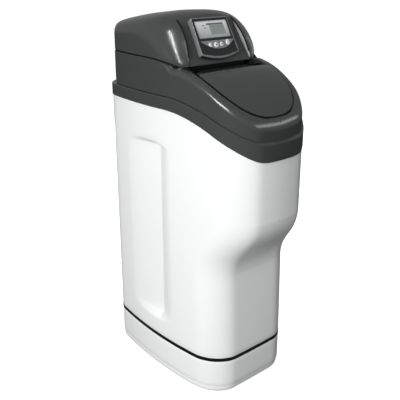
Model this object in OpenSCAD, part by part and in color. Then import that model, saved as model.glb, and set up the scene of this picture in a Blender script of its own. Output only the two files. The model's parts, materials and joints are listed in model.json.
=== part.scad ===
// Cabinet water softener: a moulded brine cabinet on a base tray, with a resin vessel, control valve and
// bypass under a lift-off hood, and a hinged salt lid. Millimetres, +Z up, front towards -Y.
// The origin is on the floor, at the middle of the cabinet's plan.

/* [Cabinet] */
// Greatest width, across the bowed sides
cab_w = 320; // [312:1:330]
// Depth of the upper part, front to back
cab_d = 536; // [528:1:548]
// How far a side draws in from its widest point to the back
side_bow = 24; // [18:1:27]
// How far the upper front draws back from its middle to its sides
front_bow = 18; // [12:1:22]
// Front corner radius
front_r = 80; // [72:1:86]
// Back corner radius
back_r = 56; // [50:1:62]
// Moulded wall
wall = 4; // [3:0.5:4.5]
// Height of the seam between base tray and cabinet
seam_z = 106; // [100:1:114]
// How far the cabinet's rim at the back lies below the hood's top
rim_down = 224; // [218:1:232]
// How far the rim falls from the back to the front
rim_drop = 101; // [92:1:108]

/* [Front recess] */
// How far the lower front stands back from the upper front
toe_recess = 69; // [55:1:76]
// Height where the recess ends
toe_z0 = 352; // [335:1:370]
// Height where the full front begins
toe_z1 = 505; // [495:1:520]

/* [Side flutes] */
// Depth of the flute in each side
flute_d = 12; // [8:0.5:14]
// Length of a flute along the side
flute_len = 168; // [150:1:176]
// Width of a flute's sloping edges
flute_edge = 40; // [30:1:48]
// Lowest edge of the flutes
flute_z0 = 170; // [160:1:185]
// How far the flutes end below the rim
flute_down = 87; // [80:1:96]

/* [Base] */
// Height of the foot pads
pad_h = 3; // [2:0.5:5]
// Radius of the foot pads
pad_r = 16; // [12:1:18]
// Height of the underside of the base tray
tray_z = 20; // [17:1:24]
// Wall of the base tray
tray_wall = 5.5; // [4.5:0.5:5.5]
// Height of the black strip in the seam
strip_h = 5; // [4:0.5:7]
// How far the strip stands proud
strip_proud = 0.8; // [0.4:0.1:1.5]

/* [Collar and cover] */
// Height of the collar at the back
collar_h_back = 31; // [27:1:35]
// Height of the collar at the front
collar_h_front = 43; // [38:1:47]
// How far the collar stands proud of the cabinet
collar_proud = 2.5; // [1.5:0.5:3]
// Thickness of the collar's flange
flange_t = 5; // [4:0.5:6]
// Width of the collar's flange, inwards from the cabinet
flange_w = 16; // [12:1:18]
// Height of the hood above the cover's crown
hood_h = 122; // [118:1:128]
// How far the cover falls from its crown to the front
cover_drop = 125; // [118:1:128]
// Radius of the cover's rolled shoulder
shoulder_r = 14; // [10:1:16]
// Wall of the cover
cover_wall = 3.5; // [3:0.5:4]

/* [Salt lid] */
// Width of the cover's edge round the lid
lid_margin = 27; // [24:1:31]
// Gap round the lid
lid_gap = 1.8; // [1.2:0.1:2.5]
// Thickness of the lid at its edge
lid_t = 5.5; // [4.5:0.5:6]
// How far the lid's middle stands above its edges
lid_crown = 7; // [4:0.5:9]
// Radius of the hinge rod
rod_r = 3; // [2.5:0.5:4]

/* [Hood] */
// Front of the hood at its foot
hood_front = -50; // [-54:1:-46]
// Front corner radius of the hood, in plan
hood_corner = 62; // [54:1:68]
// Wall of the hood
hood_wall = 3; // [2.5:0.5:3.5]
// Overall height, to the hood's highest point
hood_top = 988; // [982:1:994]
// How far the hood's roof falls to the back
roof_fall = 24; // [18:1:30]
// How far the roof falls from its middle to its sides
roof_sag = 14; // [10:1:18]
// Half width of the recessed front panel
fascia_half = 97; // [94:1:102]
// Slope of the front panel, from the level
fascia_tilt = 60; // [58:0.5:61]

/* [Display] */
// Width of the display window
lcd_w = 103; // [98:1:105]
// Height of the display window
lcd_h = 46; // [42:1:47]
// How far the bezel stands out of the front panel
bezel_t = 12; // [11:0.5:13]
// Travel of the keys
key_travel = 1; // [0.6:0.1:1.2]

/* [Resin vessel and valve] */
// Outside diameter of the resin vessel
vessel_d = 257; // [250:1:260]
// How far the vessel's mouth lies below the hood's top
vessel_down = 176; // [172:1:182]
// Wall of the vessel
vessel_wall = 5; // [4:0.5:7]
// Outside diameter of the inlet and outlet tails
port_d = 26.4; // [24:0.1:27]
// Distance between inlet and outlet
port_pitch = 76; // [74:1:82]
// How far the inlet and outlet lie below the hood's top
port_down = 80; // [77:1:82]
// Outside diameter of the drain tail
drain_d = 13; // [11:0.5:15]

/* [Brine well] */
// Outside diameter of the brine well
well_d = 92; // [86:1:94]
// How far the brine well's mouth lies below the rim
well_down = 74; // [64:1:94]
// Wall of the brine well
well_wall = 2.5; // [2:0.5:3.5]
// Travel of the float
float_travel = 45; // [30:1:60]
// Outside diameter of the brine line
line_d = 9.5; // [8:0.5:10]
// Outside diameter of the overflow tail
overflow_d = 16; // [13:0.5:18]

/* [Hidden] */
$fn = 48;

// Clearances: between parts that only stand together, between sliding parts, and of a shaft in its bore
seat_gap = 0.3;
slide_gap = 0.4;
bore_gap = 0.05;

// Plan: the outline's corners and its lines along Y
rim_back = hood_top - rim_down;
cover_crown = hood_top - hood_h;
hood_back_top = hood_top - roof_fall;
vessel_top = hood_top - vessel_down;
port_z = hood_top - port_down;
well_top = rim_back - well_down;
flute_z1 = rim_back - flute_down;
half_w = cab_w / 2;
front_y = -cab_d / 2;
back_y = cab_d / 2;
low_front_y = front_y + toe_recess;
low_front_r = front_r - 3;
low_front_bow = 3;
wide_y = 32;                    // where the sides are widest
crown_y = -15;                  // where the rim, collar and cover begin to fall
flute_mid = 60;
flute_y0 = flute_mid - flute_len / 2;
flute_y1 = flute_mid + flute_len / 2;
flute_arch = 15;
flute_foot = 22;                // height of the sloping foot of a flute
flute_head = 8;                 // height of the step at its head

// Base: the cabinet's foot nests in the base tray
nest_in = tray_wall + 0.5;
tray_floor = 4;
tub_z = tray_z + tray_floor;
strip_z0 = seam_z - strip_h / 2;
strip_z1 = seam_z + strip_h / 2;
plinth_w = 40;

// Steps of the lofted outlines
toe_steps = 8;
corner_steps = 7;
back_steps = 5;
side_steps = 4;
rise_steps = 3;

function clamp(v, low, high) = min(max(v, low), high);
function mix(a, b, t) = a + (b - a) * t;
function smooth(t) = let (c = clamp(t, 0, 1)) c * c * (3 - 2 * c);
function arc(centre, r, from, to, steps) =
    [for (i = [0:steps]) let (a = mix(from, to, i / steps)) centre + r * [cos(a), sin(a)]];

// Heights that follow the fall to the front: 0 behind crown_y, 1 at the front
function fall(y) = let (t = clamp((crown_y - y) / (crown_y - front_y), 0, 1)) t * t;
function rim_z(y) = rim_back - rim_drop * fall(y);
function collar_z(y) = rim_z(y) + mix(collar_h_back, collar_h_front, fall(y));
function lid_z(y) = cover_crown - cover_drop * fall(y);
function tub_top_z(y) = collar_z(y) - flange_t - seat_gap;

// The hood's foot is level behind and falls to the front in an S line
hood_foot_up = 8;
hood_foot_front = cover_crown + hood_foot_up;
hood_foot_rise = 11;
foot_fall_y = -90;
foot_fall_d = 170;
function hood_foot_z(y) = hood_foot_front + hood_foot_rise * smooth((y - foot_fall_y) / foot_fall_d);

// The cover's upper edge rises from the lid's line to the hood's foot beside the hinge
rise_y0 = -100;
rise_y1 = -62;
function rise(y) = smooth((y - rise_y0) / (rise_y1 - rise_y0));
// Where a point of a side stands before the front's bow carries it back to y
function rise_plan(y) =
    let (share = front_bow / (wide_y - front_y)) (y - share * wide_y) / (1 - share);
function cover_z(y) = mix(lid_z(y), hood_foot_z(y) - seat_gap, rise(y));

// Half of a plan outline, from the middle of the front to the middle of the back, as a rounded rectangle
function half_plan(front, r, inset) =
    let (w = half_w - inset, f = front + inset, b = back_y - inset, rf = r - inset, rb = back_r - inset)
    concat(
        [[0, f], [(w - rf) / 2, f]],
        arc([w - rf, f + rf], rf, -90, 0, corner_steps),
        [for (k = [1:side_steps]) [w, mix(f + rf, rise_plan(rise_y0), k / side_steps)]],
        [for (k = [1:rise_steps]) [w, rise_plan(mix(rise_y0, rise_y1, k / rise_steps))]],
        [for (y = [flute_y0, flute_y0 + flute_edge, flute_mid, flute_y1 - flute_edge, flute_y1]) [w, y]],
        [[w, mix(flute_y1, b - rb, 0.5)]],
        arc([w - rb, b - rb], rb, 0, 90, back_steps),
        [[0, b]]
    );
// The sides draw in behind and before wide_y, and the front draws back from its middle
function bowed(p, front, bow) = [
    p.x * (1 - side_bow / half_w * pow((p.y - wide_y) / (back_y - wide_y), 2)),
    p.y + bow * pow(p.x / half_w, 2) * clamp((wide_y - p.y) / (wide_y - front), 0, 1)
];
function plan(front, r, bow, inset = 0, flute = 0) =
    let (half = half_plan(front, r, inset), last = len(half) - 1)
    [for (p = concat(half, [for (i = [last - 1:-1:1]) [-half[i].x, half[i].y]]))
        bowed([p.x - sign(p.x) * flute * flute_share(p.y), p.y], front, bow)];
// How much of the flute's depth is reached at y
function flute_share(y) =
    clamp((y - flute_y0) / flute_edge, 0, 1) * clamp((flute_y1 - y) / flute_edge, 0, 1);

// Plans of the upper cabinet, of its foot, and of the way between them
function upper_plan(inset = 0) = plan(front_y, front_r, front_bow, inset);
function lower_plan(inset = 0) = plan(low_front_y, low_front_r, low_front_bow, inset);
function blend_plan(t, inset = 0, flute = 0) =
    plan(mix(low_front_y, front_y, t), mix(low_front_r, front_r, t), mix(low_front_bow, front_bow, t),
        inset, flute);

// A ring of points: an outline lifted to z, where z is a number or a function of the point
function lift(outline, z) = [for (p = outline) [p.x, p.y, is_function(z) ? z(p) : z]];

// A solid through rings of equal length. A closed one runs back into its first ring,
// and an open one has flat ends.
module skin(rings, closed = false) {
    n = len(rings[0]);
    m = len(rings);
    points = [for (r = rings) each r];
    walls = [for (k = [0:m - (closed ? 1 : 2)]) let (a = k * n, b = ((k + 1) % m) * n)
        for (j = [0:n - 1]) let (i = (j + 1) % n) each [[a + j, b + j, b + i], [a + j, b + i, a + i]]];
    ends = closed ? [] : [[for (j = [0:n - 1]) j], [for (j = [n - 1:-1:0]) (m - 1) * n + j]];
    polyhedron(points, concat(walls, ends), convexity = 8);
}

// Base

plinth_round = 14;
plinth_side_in = 1.5;
plinth_front_in = 9;
function plinth_in(p) = mix(plinth_side_in, plinth_front_in, smooth((-p.y - 90) / 60));
function plinth_ring(extra, z) = let (base = lower_plan())
    [for (i = [0:len(base) - 1]) let (q = lower_plan(plinth_in(base[i]) + extra)[i]) [q.x, q.y, z]];
// The plinth is nearly flush with the tray at its sides, stands back at the front,
// and has a rolled lower edge
module plinth() {
    color("whitesmoke")
    skin(concat(
        [lift(lower_plan(plinth_w), pad_h)],
        [for (a = [90:-30:0])
            plinth_ring(plinth_round * (1 - cos(a)), pad_h + plinth_round * (1 - sin(a)))],
        [plinth_ring(0, tray_z)],
        [lift(lower_plan(plinth_w), tray_z)]
    ), closed = true);
}

pad_in = 64;
pad_x = half_w - pad_in;
pad_front_y = low_front_y + plinth_front_in + plinth_round + 42;
pad_back_y = back_y - plinth_round - 42;
// Four pads under the plinth, and a taller one under the middle of the tray
module foot_pads() {
    color("dimgray")
    for (x = [-pad_x, pad_x], y = [pad_front_y, pad_back_y])
        translate([x, y, 0]) cylinder(r = pad_r, h = pad_h);
    color("dimgray") cylinder(r = pad_r, h = tray_z);
}

tray_edge = 1.5;
module base_tray() {
    color("whitesmoke")
    skin([
        lift(lower_plan(tray_edge), tray_z),
        lift(lower_plan(0), tray_z + tray_edge),
        lift(lower_plan(0), strip_z0),
        lift(lower_plan(tray_wall), strip_z0),
        lift(lower_plan(tray_wall), tub_z + tray_edge),
        lift(lower_plan(tray_wall + tray_edge), tub_z)
    ]);
}

module seam_strip() {
    color("black")
    translate([0, 0, strip_z0]) linear_extrude(strip_h) difference() {
        polygon(lower_plan(-strip_proud));
        polygon(lower_plan(tray_wall));
    }
}

// Cabinet

function flute_top(p) = flute_z1 - flute_arch * clamp(pow((p.y - flute_mid) / (flute_len / 2), 2), 0, 1);
function tub_ring(inset, t, flute, z) = lift(blend_plan(t, inset, flute), z);
function toe_ring(k, inset) =
    tub_ring(inset, smooth(k / toe_steps), flute_d, mix(toe_z0, toe_z1, k / toe_steps));
tub_chamfer = 3;
overflow_in = 88;
overflow_x = overflow_in - half_w;
overflow_down = 124;
overflow_z = rim_back - overflow_down;
overflow_r = overflow_d / 2;
module cabinet_tub() {
    foot = nest_in + wall;
    color("white")
    difference() {
        skin(concat(
            [tub_ring(nest_in + tub_chamfer, 0, 0, tub_z),
             tub_ring(nest_in, 0, 0, tub_z + tub_chamfer),
             tub_ring(nest_in, 0, 0, strip_z1),
             tub_ring(0, 0, 0, strip_z1),
             tub_ring(0, 0, 0, flute_z0),
             tub_ring(0, 0, flute_d, flute_z0 + flute_foot)],
            [for (k = [0:toe_steps]) toe_ring(k, 0)],
            [tub_ring(0, 1, flute_d, function (p) flute_top(p) - flute_head),
             tub_ring(0, 1, 0, function (p) flute_top(p)),
             tub_ring(0, 1, 0, function (p) tub_top_z(p.y)),
             tub_ring(wall, 1, 0, function (p) tub_top_z(p.y)),
             tub_ring(wall, 1, 0, function (p) flute_top(p) + 1),
             tub_ring(wall, 1, flute_d, function (p) flute_top(p) - flute_head - 1)],
            [for (k = [toe_steps:-1:0]) toe_ring(k, wall)],
            [tub_ring(wall, 0, flute_d, flute_z0 + flute_foot),
             tub_ring(wall, 0, 0, flute_z0),
             tub_ring(wall, 0, 0, strip_z1 + foot),
             tub_ring(foot, 0, 0, strip_z1 + wall),
             tub_ring(foot, 0, 0, tub_z + wall + tub_chamfer),
             tub_ring(foot + tub_chamfer, 0, 0, tub_z + wall)]
        ));
        translate([overflow_x, back_y - wall - 10, overflow_z])
            rotate([-90, 0, 0]) cylinder(r = overflow_r + 1 + seat_gap, h = wall + 20);
    }
}

// Overflow: a bulkhead elbow through the back wall, its tail turned down, with a nut inside
overflow_flange_r = 17;
overflow_bend = 16;
module overflow_elbow() {
    reach = 6;
    color("gray") difference() {
        translate([overflow_x, back_y, overflow_z]) union() {
            rotate([-90, 0, 0]) cylinder(r = overflow_flange_r, h = 4);
            translate([0, -wall - 14, 0]) rotate([-90, 0, 0]) cylinder(r = overflow_r + 1, h = wall + 16);
            rotate([-90, 0, 0]) cylinder(r = overflow_r, h = reach);
            translate([0, reach, -overflow_bend]) rotate([0, -90, 0]) rotate_extrude(angle = 90)
                translate([overflow_bend, 0]) circle(r = overflow_r);
            translate([0, reach + overflow_bend, -overflow_bend - 34]) cylinder(r = overflow_r, h = 34);
        }
        translate([overflow_x, back_y - wall - 15, overflow_z])
            rotate([-90, 0, 0]) cylinder(r = overflow_r - 2.5, h = wall + 15 + reach);
        translate([overflow_x, back_y + reach, overflow_z - overflow_bend]) rotate([0, -90, 0])
            rotate_extrude(angle = 90) translate([overflow_bend, 0]) circle(r = overflow_r - 2.5);
        translate([overflow_x, back_y + reach + overflow_bend, overflow_z - overflow_bend - 35])
            cylinder(r = overflow_r - 2.5, h = 35);
    }
}
module overflow_nut() {
    color("dimgray") along_y(overflow_x, back_y - wall - 9, overflow_z) difference() {
        cylinder(r = overflow_flange_r, h = 9, $fn = 6);
        translate([0, 0, -1]) cylinder(r = overflow_r + 1 + seat_gap, h = 11);
    }
}

// Collar and cover

collar_bevel = 1.5;
module rim_collar() {
    function ring(inset, z) = lift(upper_plan(inset), z);
    color("#3c3e3f")
    skin([
        ring(-collar_proud, function (p) rim_z(p.y)),
        ring(-collar_proud, function (p) collar_z(p.y) - collar_bevel),
        ring(-collar_proud + collar_bevel, function (p) collar_z(p.y)),
        ring(flange_w, function (p) collar_z(p.y)),
        ring(flange_w, function (p) collar_z(p.y) - flange_t),
        ring(-seat_gap, function (p) collar_z(p.y) - flange_t),
        ring(-seat_gap, function (p) rim_z(p.y))
    ], closed = true);
}

// The cover's edge is rolled and broad round the lid, and square and narrow under the hood
cover_in = 4;
cover_seat = 0.8;
cover_lip = 9;
cover_lip_t = 3;
hood_edge_r = 1.5;
hood_margin = 12;
lid_rest = 1.4;
lid_seat = lid_t + lid_rest;
cover_base = upper_plan(cover_in);
function roll(i) = mix(shoulder_r, hood_edge_r, rise(cover_base[i].y));
function margin(i) = mix(lid_margin, hood_margin, rise(cover_base[i].y));
function cover_point(i, inset, drop) = let (q = upper_plan(inset)[i]) [q.x, q.y, cover_z(q.y) - drop];
function roll_point(i, a) =
    let (r = roll(i), q = upper_plan(cover_in + r * (1 - sin(a)))[i], top = upper_plan(cover_in + r)[i])
    [q.x, q.y, cover_z(top.y) - r * (1 - cos(a))];
module top_cover() {
    each_point = [for (i = [0:len(cover_base) - 1]) i];
    function foot_ring(inset) = lift(upper_plan(inset), function (p) collar_z(p.y) + cover_seat);
    color("#444648")
    skin([
        foot_ring(cover_in),
        [for (i = each_point) roll_point(i, 90)],
        [for (i = each_point) roll_point(i, 60)],
        [for (i = each_point) roll_point(i, 30)],
        [for (i = each_point) roll_point(i, 0)],
        [for (i = each_point) cover_point(i, margin(i), 0)],
        [for (i = each_point) cover_point(i, margin(i), lid_seat)],
        [for (i = each_point) cover_point(i, margin(i) + cover_lip, lid_seat)],
        [for (i = each_point) cover_point(i, margin(i) + cover_lip, lid_seat + cover_lip_t)],
        [for (i = each_point) cover_point(i, cover_in + roll(i) + 2, lid_seat + cover_lip_t)],
        [for (i = each_point) let (q = upper_plan(cover_in + cover_wall)[i])
            [q.x, q.y, roll_point(i, 0).z - lid_seat - cover_lip_t - roll(i) / 2]],
        foot_ring(cover_in + cover_wall)
    ], closed = true);
}

// Hinge: a deck across the cover behind the lid, a rod in its two ears, and two arms under the lid
function side_x(y) = half_w - side_bow * pow((y - wide_y) / (back_y - wide_y), 2);
rail_y0 = -78;
rail_t = 12;
rail_down = 12.5;
rail_top = cover_crown - rail_down;
rail_h = 34;
rail_gap = 2.4;
rail_half = side_x(rail_y0) - cover_in - cover_wall - rail_gap;
deck_t = 4;
deck_d = 58;
hinge_y = -88;
hinge_down = 16;
hinge_z = cover_crown - hinge_down;
knuckle_r = 6.5;
ear_in = 62;
ear_x = half_w - ear_in;
ear_t = 6;
arm_gap = 1;
arm_t = 8;
rod_half = ear_x + ear_t + arm_gap + arm_t + 2;
lid_rear = -97;
module hinge_deck() {
    color("#2e3032") difference() {
        union() {
            translate([-rail_half, rail_y0, rail_top - rail_h]) cube([2 * rail_half, rail_t, rail_h]);
            translate([-rail_half, rail_y0, rail_top - deck_t]) cube([2 * rail_half, deck_d, deck_t]);
            for (s = [0, 1]) mirror([s, 0, 0]) translate([ear_x, 0, 0]) {
                translate([0, hinge_y, hinge_z]) rotate([0, 90, 0]) cylinder(r = knuckle_r, h = ear_t);
                translate([0, hinge_y, hinge_z - knuckle_r])
                    cube([ear_t, rail_y0 + 2 - hinge_y, knuckle_r]);
            }
        }
        translate([-rail_half, hinge_y, hinge_z]) rotate([0, 90, 0])
            cylinder(r = rod_r + bore_gap, h = 2 * rail_half);
    }
}
module hinge_rod() {
    color("silver") translate([-rod_half, hinge_y, hinge_z]) rotate([0, 90, 0])
        cylinder(r = rod_r, h = 2 * rod_half);
}
arm_len = 42;
arm_steps = 4;
arm_deep = 7;
arm_seat = 0.8;
module lid_arms() {
    under = [for (k = [0:arm_steps]) let (y = mix(lid_rear + 1, lid_rear - arm_len, k / arm_steps))
        [y, lid_z(y) - lid_t - arm_seat]];
    color("#3a3c3e") for (s = [0, 1]) mirror([s, 0, 0])
        translate([ear_x + ear_t + arm_gap, 0, 0]) difference() {
            union() {
                translate([0, hinge_y, hinge_z]) rotate([0, 90, 0]) cylinder(r = knuckle_r, h = arm_t);
                rotate([90, 0, 90]) linear_extrude(arm_t) polygon(concat(
                    [[hinge_y, hinge_z - knuckle_r], [hinge_y, under[0].y]], under,
                    [[under[arm_steps].x, under[arm_steps].y - 2],
                     [lid_rear - 8, lid_z(lid_rear - 8) - lid_t - arm_deep]]
                ));
            }
            translate([-1, hinge_y, hinge_z]) rotate([0, 90, 0])
                cylinder(r = rod_r + bore_gap, h = arm_t + 2);
        }
}

// Lid: it keeps the cover's line, with a low dome, and a straight rear edge at the hinge
lid_in = lid_margin + lid_gap;
lid_corner = 8;
lid_mid = -168;
lid_half = [for (p = upper_plan(lid_in)) if (p.x >= 0 && p.y < lid_rear - lid_corner) p];
lid_rear_x = side_x(lid_rear) - lid_in;
lid_side = concat(lid_half, [
    [lid_rear_x, lid_rear - lid_corner], [lid_rear_x - 2.5, lid_rear - 2.5],
    [lid_rear_x - lid_corner, lid_rear], [lid_rear_x / 2, lid_rear], [0, lid_rear]
]);
lid_plan = concat(lid_side, [for (i = [len(lid_side) - 2:-1:1]) [-lid_side[i].x, lid_side[i].y]]);
lid_slope = lid_z(lid_mid + 0.5) - lid_z(lid_mid - 0.5);
lid_edge = 1.2;
lid_eye = 0.05;
function lid_ring(s, lift_by) = [for (p = lid_plan) let (q = [p.x * s, lid_mid + (p.y - lid_mid) * s])
    [q.x, q.y, (s == lid_eye ? lid_z(lid_mid) + lid_slope * (q.y - lid_mid) : lid_z(q.y)) + lift_by]];
function dome(s) = lid_crown * (1 - s * s);
module salt_lid() {
    color("#484a4c")
    skin(concat(
        [for (s = [lid_eye, 0.35, 0.7, 1]) lid_ring(s, -lid_t)],
        [lid_ring(1, -lid_edge)],
        [for (s = [0.985, 0.85, 0.6, 0.3, lid_eye]) lid_ring(s, dome(s))]
    ));
}

// Hood: sections across X, from front to back, under a roof with a rounded nose

hood_in = cover_in + 0.2;
nose_d = 108;
nose_h = 117;
nose_y = hood_front + nose_d;
nose_z = hood_top - nose_h;
roof_round = 22;
hood_steps = 18;
section_steps = 11;
section_power = 5;
function hood_back(t) = back_y - hood_in - t;
function round_in(d, r) = d >= r ? 0 : r - sqrt(max(r * r - pow(r - max(d, 0), 2), 0));
function hood_half(y, t) = side_x(y) - hood_in - t
    - round_in(y - hood_front - t, hood_corner - t) - round_in(hood_back(t) - y, back_r - hood_in - t);
function roof_z(y, t) =
    (y < nose_y ? nose_z + (nose_h - t) * sqrt(max(1 - pow((nose_y - y) / (nose_d - t), 2), 0))
        : hood_top - t - (hood_top - hood_back_top) * pow((y - nose_y) / (back_y - nose_y), 2))
    - round_in(hood_back(t) - y, roof_round - t);
function hood_section(y, t, low) =
    let (w = hood_half(y, t), z0 = hood_foot_z(y), h = max(roof_z(y, t) - z0, 2))
    concat(
        [[-w, y, z0 - low]],
        [for (k = [0:2 * section_steps]) let (a = 180 - 90 * k / section_steps, c = cos(a), s = sin(a),
            u = sign(c) * pow(abs(c), 2 / section_power), v = pow(abs(s), 2 / section_power))
            [w * u, y, z0 + (h - roof_sag * pow(w * u / half_w, 2) * smooth(h / 60)) * v]],
        [[w, y, z0 - low]]
    );
module hood_form(t, low) {
    y0 = hood_front + t;
    y1 = hood_back(t);
    skin([for (k = [0:hood_steps])
        hood_section(mix(y0, y1, (1 - cos(180 * k / hood_steps)) / 2), t, low)]);
}

// The panel's own frame: X across, Y up the slope, Z out of the bezel's face;
// its zero is the middle of the display
panel_y = -17;
panel_below_top = 42;
panel_z = hood_top - panel_below_top;
module on_panel() {
    translate([0, panel_y, panel_z]) rotate([fascia_tilt, 0, 0]) children();
}
module front_of_panel(half, depth) {
    on_panel() translate([-half, -cab_w / 2, depth]) cube([2 * half, cab_w, cab_w]);
}
bezel_top = 32;
bezel_low = -62;
notch_half = 70;
drain_up = 17;
drain_z = port_z + drain_up;
notch_room = 11;
notch_top = drain_z + notch_room;
module control_hood() {
    color("#424446") difference() {
        hood_form(0, 0);
        front_of_panel(fascia_half, -bezel_t);
        difference() {
            hood_form(hood_wall, 12);
            front_of_panel(fascia_half + hood_wall, -bezel_t - hood_wall);
        }
        on_panel() translate([-board_cut_w / 2, board_cut_low, -bezel_t - hood_wall - 1])
            cube([board_cut_w, board_cut_high - board_cut_low, hood_wall + 2]);
        on_panel() for (p = screw_spots) translate([p.x, p.y, -bezel_t - hood_wall - 1])
            cylinder(r = screw_r + bore_gap, h = hood_wall + 2);
        translate([-notch_half, back_y - 40, hood_foot_z(back_y) - 30])
            cube([2 * notch_half, 60, notch_top - hood_foot_z(back_y) + 30]);
    }
}

// Display and keys, in the panel's frame
window_rim = 2.8;
window_t = 2;
face_t = 2;
lcd_t = 7;
key_floor = -6;
key_top = -30;
key_low = -52;
key_half = 55.5;
key_drop = key_top - key_low;
key_r = (key_half * key_half + key_drop * key_drop) / (2 * key_drop);
board_cut_w = 106;
board_cut_low = -54;
board_cut_high = 25;
board_w = 122;
board_low = -62;
board_high = 31;
board_t = 1.6;
board_z = -bezel_t - hood_wall - seat_gap;
screw_r = 1.5;
screw_spots = [[-57, -58], [57, -58], [-57, 28], [57, 28]];
module crescent(gap) {
    intersection() {
        translate([0, key_low + key_r]) circle(r = key_r - gap, $fn = 96);
        translate([-key_half - 5, key_low - 1]) square([2 * key_half + 10, key_top - gap - key_low + 1]);
    }
}
menu_at = [-25.5, -41];
set_at = [-8, -42.5];
clock_at = [10.5, -42];
rocker_at = [31, -37.8];
small_key_r = 6;
set_key_r = 7.2;
rocker_r = 4;
rocker_half = 2;
stem_r = 2.2;
key_rise = 1.2;
bezel_half_top = 61;
bezel_half_low = 64;
bezel_sag = 11;
bezel_r = (bezel_half_low * bezel_half_low + bezel_sag * bezel_sag) / (2 * bezel_sag);
bezel_bow = asin(bezel_half_low / bezel_r);
module display_bezel() {
    outline = concat(
        [[-bezel_half_top + 4, bezel_top], [-bezel_half_top, bezel_top - 4]],
        arc([0, bezel_low - bezel_sag + bezel_r], bezel_r, -90 - bezel_bow, -90 + bezel_bow, 10),
        [[bezel_half_top, bezel_top - 4], [bezel_half_top - 4, bezel_top]]
    );
    color("#303234") on_panel() difference() {
        translate([0, 0, -bezel_t]) linear_extrude(bezel_t) polygon(outline);
        translate([-lcd_w / 2, -lcd_h / 2, -bezel_t - 1]) cube([lcd_w, lcd_h, bezel_t + 2]);
        translate([-lcd_w / 2 - window_rim, -lcd_h / 2 - window_rim, -bezel_t - 1])
            cube([lcd_w + 2 * window_rim, lcd_h + 2 * window_rim, bezel_t + 1 - face_t]);
        translate([0, 0, key_floor]) linear_extrude(20) crescent(0);
        for (p = [menu_at, set_at, clock_at]) translate([p.x, p.y, -bezel_t - 1])
            cylinder(r = stem_r + slide_gap, h = bezel_t);
    }
}
module display_window() {
    m = window_rim - seat_gap;
    color("lightgray", 0.5) on_panel() translate([-lcd_w / 2 - m, -lcd_h / 2 - m, -face_t - window_t])
        cube([lcd_w + 2 * m, lcd_h + 2 * m, window_t]);
}
module lcd_module() {
    m = window_rim - 2 * seat_gap;
    color("#8d9a8c") on_panel() translate([-lcd_w / 2 - m, -lcd_h / 2 - m, -face_t - window_t - lcd_t])
        cube([lcd_w + 2 * m, lcd_h + 2 * m, lcd_t]);
}
module rocker_shape(gap) {
    for (s = [-1, 1]) translate([0, s * rocker_half]) circle(r = rocker_r + gap);
    translate([-rocker_r - gap, -rocker_half]) square([2 * (rocker_r + gap), 2 * rocker_half]);
}
plate_top = -1;
module keypad_plate() {
    color("#8b8d8f") on_panel() translate([0, 0, key_floor]) difference() {
        linear_extrude(plate_top - key_floor) crescent(slide_gap);
        for (p = [menu_at, clock_at]) translate([p.x, p.y, -1])
            cylinder(r = small_key_r + slide_gap, h = 20);
        translate([set_at.x, set_at.y, -1]) cylinder(r = set_key_r + slide_gap, h = 20);
        translate([rocker_at.x, rocker_at.y, -1]) linear_extrude(20) rocker_shape(2 * slide_gap);
    }
}
dome_h = 0.4;
module circuit_board() {
    color("darkgreen") on_panel() union() {
        difference() {
            translate([-board_w / 2, board_low, board_z - board_t])
                cube([board_w, board_high - board_low, board_t]);
            for (p = screw_spots) translate([p.x, p.y, board_z - board_t - 1])
                cylinder(r = screw_r + seat_gap, h = board_t + 2);
        }
        for (p = [menu_at, set_at, clock_at]) translate([p.x, p.y, board_z - 0.5])
            cylinder(r = 3, h = 0.5 + dome_h);
    }
}
module board_screws() {
    color("silver") on_panel() for (p = screw_spots) translate([p.x, p.y, board_z - board_t]) {
        translate([0, 0, -2]) cylinder(r = 2 * screw_r, h = 2);
        translate([0, 0, -0.5]) cylinder(r = screw_r, h = board_t + seat_gap + 2.5);
    }
}
// A round key: a cap in the plate and a stem that ends above the board's switch
module key(at, r) {
    cap_low = key_floor + key_travel + slide_gap;
    stem_low = board_z + dome_h + key_travel + seat_gap;
    on_panel() translate([at.x, at.y, 0]) {
        translate([0, 0, cap_low]) cylinder(r = r, h = key_rise - cap_low);
        translate([0, 0, stem_low]) cylinder(r = stem_r, h = cap_low - stem_low + 0.5);
    }
}
module key_menu() { color("gainsboro") key(menu_at, small_key_r); }
module key_set() { color("gainsboro") key(set_at, set_key_r); }
module key_clock() { color("gainsboro") key(clock_at, small_key_r); }
rocker_pivot_r = 1.8;
rocker_pivot_z = key_floor + rocker_pivot_r + 0.1;
module key_rocker() {
    cap_low = rocker_pivot_z + 0.9;
    color("gainsboro") on_panel() translate([rocker_at.x, rocker_at.y, 0]) union() {
        translate([0, 0, cap_low]) linear_extrude(key_rise - cap_low) rocker_shape(0);
        translate([-rocker_r, 0, rocker_pivot_z]) rotate([0, 90, 0])
            cylinder(r = rocker_pivot_r, h = 2 * rocker_r);
    }
}

// Resin vessel

vessel_r = vessel_d / 2;
vessel_y = back_y - nest_in - wall - 2 - vessel_r;
tub_floor = tub_z + wall;
vessel_z0 = tub_floor + 6;
dish_h = 80;
dome_rise = 95;
neck_r = 41;
neck_h = 18;
neck_angle = acos(neck_r / vessel_r);
dome_z = vessel_top - neck_h - dome_rise * sin(neck_angle);
function vessel_side(t) = let (r = vessel_r - t, top = acos((neck_r - t) / r)) concat(
    [for (k = [0:9]) let (a = -90 + 10 * k) [r * cos(a), vessel_z0 + dish_h + (dish_h - t) * sin(a)]],
    [for (k = [0:8]) let (a = top * k / 8) [r * cos(a), dome_z + (dome_rise - t) * sin(a)]],
    [[neck_r - t, vessel_top]]
);
module at_vessel() {
    translate([0, vessel_y, 0]) children();
}
module resin_vessel() {
    inner = vessel_side(vessel_wall);
    color("steelblue") at_vessel() rotate_extrude($fn = 96)
        polygon(concat(vessel_side(0), [for (i = [len(inner) - 1:-1:0]) inner[i]]));
}
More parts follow.
